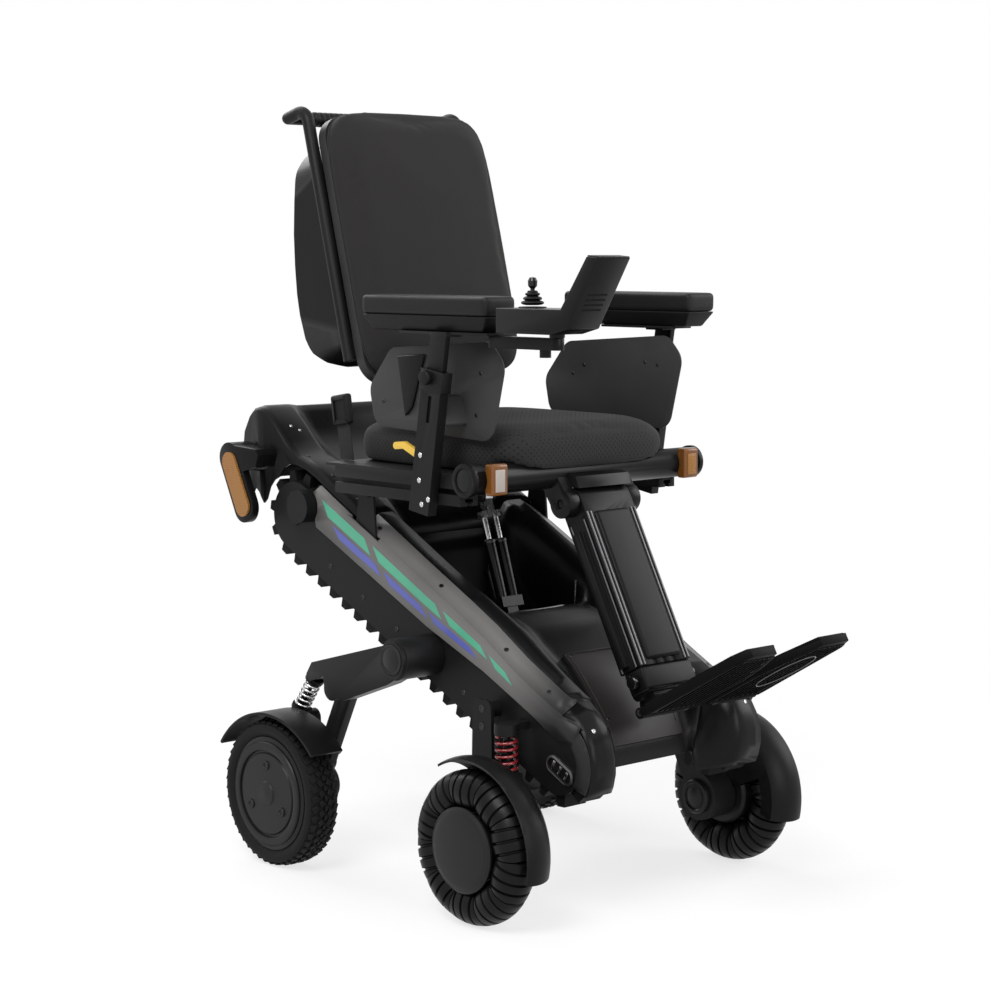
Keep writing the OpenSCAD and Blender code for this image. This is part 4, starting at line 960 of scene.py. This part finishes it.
# colour bars on the grey strips: broken slanted bars in two rows
stripePlan = {"face": 208.0, "sunk": 0.2, "thick": 0.35, "slant": 16.0, "step": 24.0}
stripLower = [(-345, 322), (-281, 330), (-167, 385), (-27, 442), (270, 583)]
stripUpper = [(-345, 332), (-301, 354), (-232, 390), (-162, 434), (-92, 471), (20, 528), (100, 570),
              (228, 634)]
greenBars = [(236, 120, 0.5, 0.8), (98, -64, 0.52, 0.8), (-84, -176, 0.54, 0.8), (-196, -236, 0.5, 0.78)]
blueBars = [(206, 92, 0.2, 0.4), (70, -28, 0.2, 0.4), (-46, -150, 0.22, 0.42)]  # back, front, low, high


def along(line, y):
    for (y0, z0), (y1, z1) in zip(line, line[1:]):
        if y <= y1 or (y1, z1) == line[-1]:
            return z0 + (z1 - z0) * (y - y0) / (y1 - y0)


def barOutline(back, front, low, high):
    count = max(2, int((back - front) / stripePlan["step"]))
    edges = []
    for share, shift in ((low, 0.0), (high, stripePlan["slant"])):
        run = []
        for i in range(count + 1):
            y = back + (front - back) * i / count + shift
            run.append((y, along(stripLower, y) + share * (along(stripUpper, y) - along(stripLower, y))))
        edges.append(run)
    return edges[0] + edges[1][::-1]


for sideName, sign in sides.items():
    x0 = sign * (stripePlan["face"] - stripePlan["sunk"])
    x1 = sign * (stripePlan["face"] + stripePlan["thick"])
    for name, bars, material in (("greenBars.", greenBars, stripeGreen), ("blueBars.", blueBars, stripeBlue)):
        made = [sideSlab("bar", barOutline(*bar), x0, x1) for bar in bars]
        finishPiece(joinPieces(made, name + sideName), "chassis", "side_strip", material)
print("colour bars laid")

# screws on the strips, plates and covers, dropped from above at (x, y) or from the side at (y, z)
coverScrews = {
    "stripScrews": {"node": "side_panels", "radius": 4.2, "steel": darkSteel,
                    "top": ((187, 120), (187, -40), (187, -200), (187, -300))},
    "plateScrews": {"node": "chassis_frame", "radius": 4.6, "steel": darkSteel,
                    "side": ((60, 425), (150, 470), (240, 515), (-110, 340), (-240, 275))},
    "ridgeScrews": {"node": "rear_cover", "radius": 3.8, "steel": darkSteel,
                    "top": ((176, 190), (176, 260), (176, 330))},
    "crestScrews": {"node": "rear_cover", "radius": 3.0, "steel": brightSteel,
                    "top": ((166, 394), (152, 386))},
    "noseScrew": {"node": "centre_cover", "radius": 3.6, "steel": brightSteel, "top": ((178, -392),)},
}
lidScrews = {"radius": 3.4, "x": (-70, 70), "y": (-318, -232)}
for sideName, sign in sides.items():
    for name, plan in coverScrews.items():
        seats = [fromTop(plan["node"], sign * x, y) for x, y in plan.get("top", ())]
        seats += [fromSide(plan["node"], sign, y, z) for y, z in plan.get("side", ())]
        screwSet(name + "." + sideName, plan["radius"], seats, "chassis", "frame", plan["steel"])
lidSeats = [fromTop("battery_cover", x, y) for x in lidScrews["x"] for y in lidScrews["y"]]
screwSet("lidScrews", lidScrews["radius"], lidSeats, "chassis", "frame", darkSteel)
print("cover screws set")

# painted highlight: a bright metal tube along the front lip of the lift well
lipPlan = {"middle": -90.0, "sweep": 46.0, "curve": 2.6, "half": 122.0, "radius": 0.0016, "marks": 36}
lipPoints = []
for i in range(lipPlan["marks"] + 1):
    x = lipPlan["half"] * (2 * i / lipPlan["marks"] - 1)
    y = lipPlan["middle"] + lipPlan["sweep"] * abs(x / lipPlan["half"]) ** lipPlan["curve"]
    lipPoints.append(fromTop("centre_cover", x, y)[0])
finishPiece(tubePiece("wellLip", lipPoints, lipPlan["radius"]), "chassis", "cover", ridgeMetal)

# raised border on the battery lid
lidPlan = {"half": 76.0, "front": -330.0, "back": -228.0, "radius": 0.0014, "marks": 10}


def lidLine(name, ends):
    (xa, ya), (xb, yb) = ends
    shares = [i / lidPlan["marks"] for i in range(lidPlan["marks"] + 1)]
    places = [fromTop("battery_cover", xa + (xb - xa) * share, ya + (yb - ya) * share)[0] for share in shares]
    return tubePiece(name, [place for place in places if place], lidPlan["radius"])


lidCorners = [(-lidPlan["half"], lidPlan["front"]), (-lidPlan["half"], lidPlan["back"]),
              (lidPlan["half"], lidPlan["back"]), (lidPlan["half"], lidPlan["front"])]
lidLines = [lidLine("lidLine", ends) for ends in zip(lidCorners, lidCorners[1:])]
finishPiece(joinPieces(lidLines, "lidBorder"), "chassis", "battery_lid", finishes["battery_lid"])
print("well lip and lid border laid")

# charging socket low on the right track plate
portPlan = {"y": -341.0, "z": 248.0, "long": 64.0, "tall": 30.0, "face": -200.0, "tilt": math.radians(26.7),
            "marks": 24, "proud": 4.0, "lip": 0.0035, "deep": 0.003, "well": -4.2}
pinPlan = {"size": (0.003, 0.005, 0.015), "steps": (-16, 0, 16), "proud": 2.4, "soft": 0.0008}


def portOutline(grow):
    half, r = portPlan["long"] / 2 - portPlan["tall"] / 2, portPlan["tall"] / 2 + grow
    c, s = math.cos(portPlan["tilt"]), math.sin(portPlan["tilt"])
    ring = []
    for i in range(portPlan["marks"]):
        a = math.tau * i / portPlan["marks"]
        u = math.copysign(half, math.cos(a)) + r * math.cos(a)
        v = r * math.sin(a)
        ring.append((portPlan["y"] + u * c - v * s, portPlan["z"] + u * s + v * c))
    return ring


def sinkFace(piece, test, border, way):
    pickFaces(piece, test)
    bpy.ops.mesh.inset(thickness=border)
    bpy.ops.mesh.extrude_region_move(TRANSFORM_OT_translate={"value": way})
    bpy.ops.object.mode_set(mode="OBJECT")


face = portPlan["face"]
rim = sideSlab("portRim", portOutline(0), face + 1, face - portPlan["proud"], 0.001)
sinkFace(rim, lambda f: f.normal.x < -0.9, portPlan["lip"], (portPlan["deep"], 0, 0))
finishPiece(rim, "chassis", "frame", ridgeMetal)
# the well inside the socket rim is a slab of painted shadow black
well = sideSlab("portWell", portOutline(portPlan["well"]), face - 0.2, face - 1.4)
finishPiece(well, "chassis", "frame", paintedShadowBlack)
pins = []
for step in pinPlan["steps"]:
    place = spot(face - pinPlan["proud"], portPlan["y"] + step * math.cos(portPlan["tilt"]),
                 portPlan["z"] + step * math.sin(portPlan["tilt"]))
    pins.append(roundBlock("portPin", pinPlan["size"], place, pinPlan["soft"], 2, (portPlan["tilt"], 0, 0)))
finishPiece(joinPieces(pins, "portPins"), "chassis", "axle_steel", brightSteel)
print("charging socket fitted")

# turned trim on the rear arms, wheels, axle ends and motors
wheelTrim = {
    "armCap": {"body": "rear_arm_", "slot": "wheel_disc", "place": (287.2, -30.0, 394.0), "steps": 40,
               "profile": [(0, 0), (25.5, 0), (25.5, 1.6), (24.4, 2.4), (20, 2.0), (18.5, 2.9), (0, 3.6)]},
    "discRing": {"body": "rear_wheel_", "slot": "wheel_disc", "place": (334.0, 253.5, 128.0), "steps": 72,
                 "profile": [(76, -3), (90, -3), (91, -1.2), (89, 0.9), (80, 1.6), (77, 0.9), (76, -3)]},
    "hubDome": {"body": "front_wheel_", "slot": "wheel_disc", "place": (337.0, -253.5, 125.0), "steps": 64,
                "angle": 50, "profile": [(0, 4.6), (20, 4.3), (40, 3.2), (56, 1.5), (63, 0.2), (65, -1.2),
                                         (65.4, -3), (0, -3)]},
    "drivePlug": {"body": "chassis", "slot": "frame", "place": (200.1, 341.0, 595.0), "steps": 32,
                  "profile": [(0, -0.5), (17.5, -0.5), (17.5, 1.4), (16.3, 2.4), (0, 2.8)]},
    "idlerPlug": {"body": "chassis", "slot": "frame", "place": (200.1, -332.0, 257.0), "steps": 32,
                  "profile": [(0, -0.5), (12.5, -0.5), (12.5, 1.4), (11.3, 2.4), (0, 2.8)]},
    "motorRing": {"body": "front_arm_", "slot": "motor_case", "place": (208.2, -253.5, 125.0), "steps": 40,
                  "inward": True, "profile": [(21.5, -2), (29.6, -2), (29.6, 0.8), (28, 2.4), (23.6, 2.6),
                                              (22, 1.2), (21.5, -2)]},
    "motorCap": {"body": "front_arm_", "slot": "motor_case", "place": (208.2, -253.5, 125.0), "steps": 40,
                 "inward": True, "profile": [(0, 2.0), (14, 1.8), (17.5, 0.8), (18.4, -2), (0, -2)]},
}
dimplePlan = {"place": (335.4, 253.5, 128.0), "far": 0.05, "count": 3,
              "profile": [(0, 0.1), (4.2, 0.1), (5.0, 1.4), (7.4, 1.5), (8.2, 0.7), (8.4, -1.5), (0, -1.5)]}
boltPlan = {"x": 232.0, "y": -190.0, "z": (329, 300), "radius": 6.4}
for sideName, sign in sides.items():
    for name, plan in wheelTrim.items():
        sideTrim(name, plan, sideName, sign)
    out = Vector((sign, 0, 0))
    x, y, z = dimplePlan["place"]
    dimple = turnedPiece("dimple", dimplePlan["profile"], Vector((0, dimplePlan["far"], 0)), (0, 0, 1), 24)
    places = [standOn(spot(sign * x, y, z), out) @ Matrix.Rotation(math.tau * i / dimplePlan["count"], 4, "Z")
              for i in range(dimplePlan["count"])]
    finishPiece(repeatPiece(dimple, places, "discDimples." + sideName), "rear_wheel_" + sideName,
                "wheel_disc",
                finishes["wheel_disc"])
    bolts = [(spot(sign * boltPlan["x"], boltPlan["y"], z), out) for z in boltPlan["z"]]
    screwSet("bracketBolts." + sideName, boltPlan["radius"], bolts, "chassis", "frame", darkSteel)
print("wheel trim turned")

# controller: screen and keys towards the sitter, slits on the back in painted shadow black, and a light top
# edge that paints a highlight
controlX = -233.0
screenPlan = {"low": (-406, 976), "high": (-462, 1056), "size": (0.056, 0.054, 0.003), "up": 0.62, "out": 0.2}
keyPlan = {"count": 4, "pitch": 15.0, "up": 0.17, "profile": [(0, -1), (5, -1), (5, 1.2), (4.2, 1.9),
                                                              (0, 2.1)]}
slitPlan = {"low": (-420, 946), "high": (-486, 1054), "size": (0.04, 0.0032, 0.0014), "count": 4,
            "first": 34.0,
            "pitch": 9.0, "out": -0.1}
topHighlight = {"size": (0.0655, 0.0245, 0.0022), "proud": 0.0008, "soft": 0.0008}


def slantFrame(plan):
    (lowY, lowZ), (highY, highZ) = plan["low"], plan["high"]
    way = Vector((0, highY - lowY, highZ - lowZ)).normalized()
    turn = (math.atan2(way.z, way.y) - math.pi, 0, 0)
    return way, Vector((0, way.z, -way.y)), turn, math.hypot(highY - lowY, highZ - lowZ)


def slantSpot(plan, x, up, out):
    way, outWay = slantFrame(plan)[:2]
    return spot(x, *plan["low"]) + (way * up + outWay * out) / 1000


faceOut, faceTurn, faceLong = slantFrame(screenPlan)[1:]
screenPlace = slantSpot(screenPlan, controlX, faceLong * screenPlan["up"], screenPlan["out"])
screen = roundBlock("controlScreen", screenPlan["size"], screenPlace, 0.0009, 2, faceTurn)
finishPiece(screen, "controller", "knob", screenGlass)
keys = []
for i in range(keyPlan["count"]):
    keyX = controlX + (i - (keyPlan["count"] - 1) / 2) * keyPlan["pitch"]
    keys.append(turnedPiece("controlKey", keyPlan["profile"],
                            slantSpot(screenPlan, keyX, faceLong * keyPlan["up"], 0.0), faceOut, 24))
finishPiece(joinPieces(keys, "controlKeys"), "controller", "knob", finishes["guard"])
# the back slits are blocks of painted shadow black
slits = []
for i in range(slitPlan["count"]):
    place = slantSpot(slitPlan, controlX, slitPlan["first"] + slitPlan["pitch"] * i, slitPlan["out"])
    slits.append(roundBlock("backSlit", slitPlan["size"], place, 0.0005, 1, slantFrame(slitPlan)[2]))
finishPiece(joinPieces(slits, "controlSlits"), "controller", "cover", paintedShadowBlack)
# painted highlight: a light grey strip along the controller's top edge
edgeBack, edgeFront = spot(controlX, *slitPlan["high"]), spot(controlX, *screenPlan["high"])
edgeWay = edgeFront - edgeBack
edge = roundBlock("controlEdge", topHighlight["size"], (edgeBack + edgeFront) / 2 + Vector((0, 0,
                                                                                       topHighlight["proud"])),
                  topHighlight["soft"], 2, (math.atan2(edgeWay.z, edgeWay.y), 0, 0))
finishPiece(edge, "controller", "cover", finishes["side_strip"])
print("controller dressed")

# side guards: a dark pocket on the right one, rivets on both
guardPlan = {"pocket": [(44, 890), (-27, 895), (5, 806), (24, 789)], "faces": (-206.6, -212.0), "soft": 0.003}
rivetPlan = {"radius": 3.4, "left": (203.95, ((-160, 868), (-130, 872), (20, 862), (48, 846))),
             "right": (-207.05, ((-160, 868), (-150, 800), (84, 812)))}
pocket = sideSlab("guardPocket", guardPlan["pocket"], *guardPlan["faces"], guardPlan["soft"], 3)
finishPiece(pocket, "seat", "guard", finishes["cover"])
for sideName in ("left", "right"):
    x, rivets = rivetPlan[sideName]
    seats = [(spot(x, y, z), Vector((-1, 0, 0))) for y, z in rivets]
    screwSet("guardRivets." + sideName, rivetPlan["radius"], seats, "seat", "guard", darkSteel)

# arm posts: screws, height knobs and plugs in the cross bar's ends
postScrews = {"radius": 4.4, "side": ((-81, 694), (-103, 664), (-87, 655), (-84, 735))}
postTrim = {
    "postKnob": {"body": "seat", "slot": "knob", "finish": "boot", "place": (271.8, -108.0, 862.0),
                 "steps": 28,
                 "soft": 0.0006, "profile": [(0, 0), (9, 0), (9, 3), (12.5, 4.5), (12.5, 11), (11, 13),
                                             (0, 13.5)]},
    "barPlug": {"body": "seat", "slot": "cover", "finish": "arm_metal", "place": (264.2, -185.0, 700.0),
                "steps": 36, "profile": [(0, -1.5), (19.6, -1.5), (19.6, -0.4), (18, 0.8), (9, 1.3),
                                         (0, 1.4)]},
}
for sideName, sign in sides.items():
    seats = [fromSide("arm_posts", sign, y, z) for y, z in postScrews["side"]]
    screwSet("postScrews." + sideName, postScrews["radius"], seats, "seat", "frame", brightSteel)
    for name, plan in postTrim.items():
        sideTrim(name, plan, sideName, sign)
print("posts and guards dressed")

# lap belt ends with a buckle on the right
strapPlan = {"outline": [(168, 706), (204, 706), (214, 768), (180, 772)], "near": 202.6, "far": 204.4,
             "soft": 0.0006}
bucklePlan = {"size": (0.014, 0.046, 0.052), "place": (-205, 198, 792), "soft": 0.005,
              "turn": math.radians(-9),
              "border": 0.006, "deep": 0.002}
for sideName, sign in sides.items():
    strap = sideSlab("lapStrap." + sideName, strapPlan["outline"], sign * strapPlan["near"],
                     sign * strapPlan["far"], strapPlan["soft"], 1)
    finishPiece(strap, "seat", "mesh_cloth", webbing)
buckle = roundBlock("beltBuckle", bucklePlan["size"], spot(*bucklePlan["place"]), bucklePlan["soft"], 4,
                    (bucklePlan["turn"], 0, 0))
sinkFace(buckle, lambda f: f.normal.x < -0.95, bucklePlan["border"], (bucklePlan["deep"], 0, 0))
finishPiece(buckle, "seat", "boot", finishes["boot"])
print("lap belt fitted")

# leg column: bright ridges down the extrusion that paint its edge highlights, a raised face, and the end
# block on the slider below
legPlan = {"y": -216.0, "z": 652.0, "lean": 28.0, "long": 296.0, "half": 58.0, "front": 25.0}
legTurn = (math.radians(-legPlan["lean"]), 0, 0)
ridgePlan = {"proud": 0.3, "middle": -120.0, "short": 2.0, "frontX": (-55, -47, 47, 55), "frontTop": -26.0,
             "frontRadius": 0.0019, "sideY": (-16, 18), "sideTop": -36.0, "sideRadius": 0.0016}
columnPlan = {"size": (0.08, 0.014, 0.262), "sunk": 2.0, "up": -157.0, "soft": 0.0066}
shroudPlan = {"long": 38.0, "gap": 1.0, "back": 18.6, "soft": 0.004}


def ridgeLine(x, y, top, radius):
    heights = (top, ridgePlan["middle"], ridgePlan["short"] - legPlan["long"])
    return tubePiece("ridge", [leanSpot(legPlan, x, y, z) for z in heights], radius)


ridges = [ridgeLine(x, -legPlan["front"] - ridgePlan["proud"], ridgePlan["frontTop"],
                    ridgePlan["frontRadius"])
          for x in ridgePlan["frontX"]]
ridges += [ridgeLine(sign * (legPlan["half"] + ridgePlan["proud"]), y, ridgePlan["sideTop"],
                     ridgePlan["sideRadius"])
           for sign in (-1, 1) for y in ridgePlan["sideY"]]
finishPiece(joinPieces(ridges, "columnRidges"), "legrest", "column", ridgeMetal)
columnFace = roundBlock("columnFace", columnPlan["size"],
                        leanSpot(legPlan, 0, columnPlan["sunk"] - legPlan["front"], columnPlan["up"]),
                        columnPlan["soft"], 6, legTurn)
finishPiece(columnFace, "legrest", "column", finishes["column"], angle=50)
shroudDeep = legPlan["front"] + shroudPlan["back"]
shroudUp = -legPlan["long"] - shroudPlan["gap"] - shroudPlan["long"] / 2
shroud = roundBlock("sliderShroud", (2 * legPlan["half"] / 1000, shroudDeep / 1000,
                                     shroudPlan["long"] / 1000),
                    leanSpot(legPlan, 0, shroudPlan["back"] - shroudDeep / 2,
                             shroudUp), shroudPlan["soft"], 3,
                    legTurn)
finishPiece(shroud, "leg_slider", "column", finishes["column"])
print("leg column ridged")

# footplates: ribs and rims on both faces, pin ends, and knobs on the slider's end block
footPlan = {"y": -448.0, "z": 346.0, "lean": 29.7, "top": 6.0, "end": 238, "step": 12,
            "inner": [(0, 13), (121, 13), (175, 27), (239, 55)],
            "outer": [(0, 131), (24, 132), (213, 124), (243, 109)]}
footTurn = (math.radians(-footPlan["lean"]), 0, 0)
ribPlan = {"first": 28, "pitch": 15.0, "count": 13, "wide": 0.0034, "tall": 0.0032, "proud": 0.8,
           "soft": 0.0008}
underPlan = {"across": range(28, 124, 12), "fars": range(20, 232, 4), "inset": 6, "wide": 0.0026,
             "tall": 0.0036,
             "up": -7.4, "soft": 0.0009}
underRim = {"start": 10, "up": -6.6, "radius": 0.0024}
topRim = {"start": 20, "up": footPlan["top"], "radius": 0.0027}  # clear of the hinge bars when flipped up
footPin = {"radius": 6.0, "x": 133.2}
knobPlan = {"sunk": 0.5, "y": -4.0, "below": 20.0,
            "profile": [(0, 0), (7, 0), (7, 3), (11, 4.5), (11, 12), (9.5, 13.5), (0, 14)]}
wirePlan = {"x": 74.0, "far": 132.0, "halfWide": 34.0, "halfLong": 62.0, "up": -9.6, "marks": 48,
            "radius": 0.0011}


def footSpot(sign, x, far, high):
    return leanSpot(footPlan, sign * x, -far, high)


def footEdges(far):
    return along(footPlan["inner"], far), along(footPlan["outer"], far)


def topRibs(sign):
    ribs = []
    for i in range(ribPlan["count"]):
        far = ribPlan["first"] + ribPlan["pitch"] * i
        inner, outer = footEdges(far)
        place = footSpot(sign, (inner + outer) / 2, far, footPlan["top"] + ribPlan["proud"])
        size = ((outer - inner) / 1000, ribPlan["wide"], ribPlan["tall"])
        ribs.append(roundBlock("rib", size, place, ribPlan["soft"], 2, footTurn))
    return ribs


def underRibs(sign):
    ribs = []
    for x in underPlan["across"]:
        fars = [far for far in underPlan["fars"]
                if footEdges(far)[0] + underPlan["inset"] < x < footEdges(far)[1] - underPlan["inset"]]
        size = (underPlan["wide"], (fars[-1] - fars[0]) / 1000, underPlan["tall"])
        place = footSpot(sign, x, (fars[0] + fars[-1]) / 2, underPlan["up"])
        ribs.append(roundBlock("underRib", size, place, underPlan["soft"], 2, footTurn))
    return ribs


def plateRim(name, plan, sign):
    fars = list(range(plan["start"], footPlan["end"], footPlan["step"]))
    outline = [(footEdges(far)[0], far) for far in fars] + [(footEdges(far)[1], far) for far in fars[::-1]]
    return tubePiece(name, [footSpot(sign, x, far, plan["up"]) for x, far in outline], plan["radius"], True)


for sideName, sign in sides.items():
    plateBody = "footplate_" + sideName
    platePieces = [joinPieces(topRibs(sign), "footRibs." + sideName),
                   joinPieces(underRibs(sign), "underRibs." + sideName),
                   plateRim("underRim." + sideName, underRim, sign), plateRim("topRim." + sideName, topRim,
                                                                              sign)]
    for piece in platePieces:
        finishPiece(piece, plateBody, "footplate", finishes["footplate"])
    pinSeat = (footSpot(sign, footPin["x"], 0, 0), Vector((sign, 0, 0)))
    screwSet("footPin." + sideName, footPin["radius"], [pinSeat], plateBody, "axle_steel", darkSteel)
    knobPlace = leanSpot(legPlan, sign * (legPlan["half"] - knobPlan["sunk"]), knobPlan["y"],
                         -legPlan["long"] - knobPlan["below"])
    knob = turnedPiece("carriageKnob." + sideName, knobPlan["profile"], knobPlace, (sign, 0, 0), 28)
    finishPiece(knob, "leg_slider", "knob", finishes["knob"])
wireLoop = []
for i in range(wirePlan["marks"]):
    a = math.tau * i / wirePlan["marks"]
    wireLoop.append(footSpot(1, wirePlan["x"] + wirePlan["halfWide"] * math.cos(a),
                             wirePlan["far"] + wirePlan["halfLong"] * math.sin(a), wirePlan["up"]))
finishPiece(tubePiece("footWire", wireLoop, wirePlan["radius"], True), "footplate_left", "axle_steel",
            ridgeMetal)
print("footplates ribbed")

# seat lift: gear motor beside the cylinders and dark collars where the rods come out
liftPlan = {"y": -14.0, "z": 425.0, "lean": math.degrees(math.atan2(73, 215))}
motorPlan = {"place": (0, 27, 34), "profile": [(0, 0), (12, 0), (13.5, 1.5), (13.5, 62), (12, 66), (7, 67),
                                               (6, 74), (0, 74)]}
collarPlan = {"x": 13.0, "up": 141.0, "profile": [(5.3, 0), (10.6, 0), (10.8, 1), (10.8, 5), (9.6, 6.5),
                                                  (5.3, 6.5),
                                                  (5.3, 0)]}
liftWay = leanSpot(liftPlan, 0, 0, 1) - leanSpot(liftPlan, 0, 0, 0)
motor = turnedPiece("liftMotor", motorPlan["profile"], leanSpot(liftPlan, *motorPlan["place"]), liftWay, 32)
finishPiece(motor, "actuator_barrel", "motor_case", finishes["motor_case"])
collars = [turnedPiece("liftCollar", collarPlan["profile"],
                       leanSpot(liftPlan, sign * collarPlan["x"], 0, collarPlan["up"]), liftWay, 28)
           for sign in (-1, 1)]
finishPiece(joinPieces(collars, "liftCollars"), "actuator_barrel", "motor_case", darkSteel)
print("seat lift dressed")

# rear case: a seam down the middle drawn as a line of painted shadow, and a ringed grip on the push bar
seamPlan = {"low": 150.0, "rise": 390.0, "marks": 24, "behind": 220.0, "radius": 0.0012}
gripPlan = {"height": 596.0, "reach": 54.0, "half": 120.0, "radius": 13.2, "bore": 11.1, "groove": 1.2,
            "marks": 80,
            "end": 2.0}
seamPoints = []
for i in range(seamPlan["marks"] + 1):
    high = seamPlan["low"] + seamPlan["rise"] * i / seamPlan["marks"]
    start = leanSpot(backLean, 0, seamPlan["behind"], high)
    place = meet("rear_case", start, leanSpot(backLean, 0, 0, high) - start)[0]
    if place:
        seamPoints.append(place)
finishPiece(tubePiece("caseSeam", seamPoints, seamPlan["radius"]), "backrest", "cover", paintedShadowBlack)
half, bore, marks = gripPlan["half"], gripPlan["bore"], gripPlan["marks"]
gripProfile = [(bore, -half)]
for i in range(marks + 1):
    dip = gripPlan["groove"] if i % 4 == 3 else 0.0
    ringPlace = -half + gripPlan["end"] + 2 * (half - gripPlan["end"]) * i / marks
    gripProfile.append((gripPlan["radius"] - dip, ringPlace))
gripProfile += [(bore, half), (bore, -half)]
grip = turnedPiece("pushGrip", gripProfile, leanSpot(backLean, 0, gripPlan["reach"], gripPlan["height"]),
                   (1, 0, 0), 36)
finishPiece(grip, "backrest", "boot", finishes["boot"], angle=40)
print("rear case and grip dressed")

# beam lamps: an insert in the front of the amber lens, pale on the right
lampPlan = {"size": (0.02, 0.004, 0.036), "place": (223, -224.2, 700), "soft": 0.0015}
for sideName, sign in sides.items():
    x, y, z = lampPlan["place"]
    insert = roundBlock("lampInsert." + sideName, lampPlan["size"], spot(sign * x, y, z), lampPlan["soft"], 3)
    finishPiece(insert, "seat", "reflector", paleGrey if sign < 0 else finishes["reflector"])
print("lamps dressed")
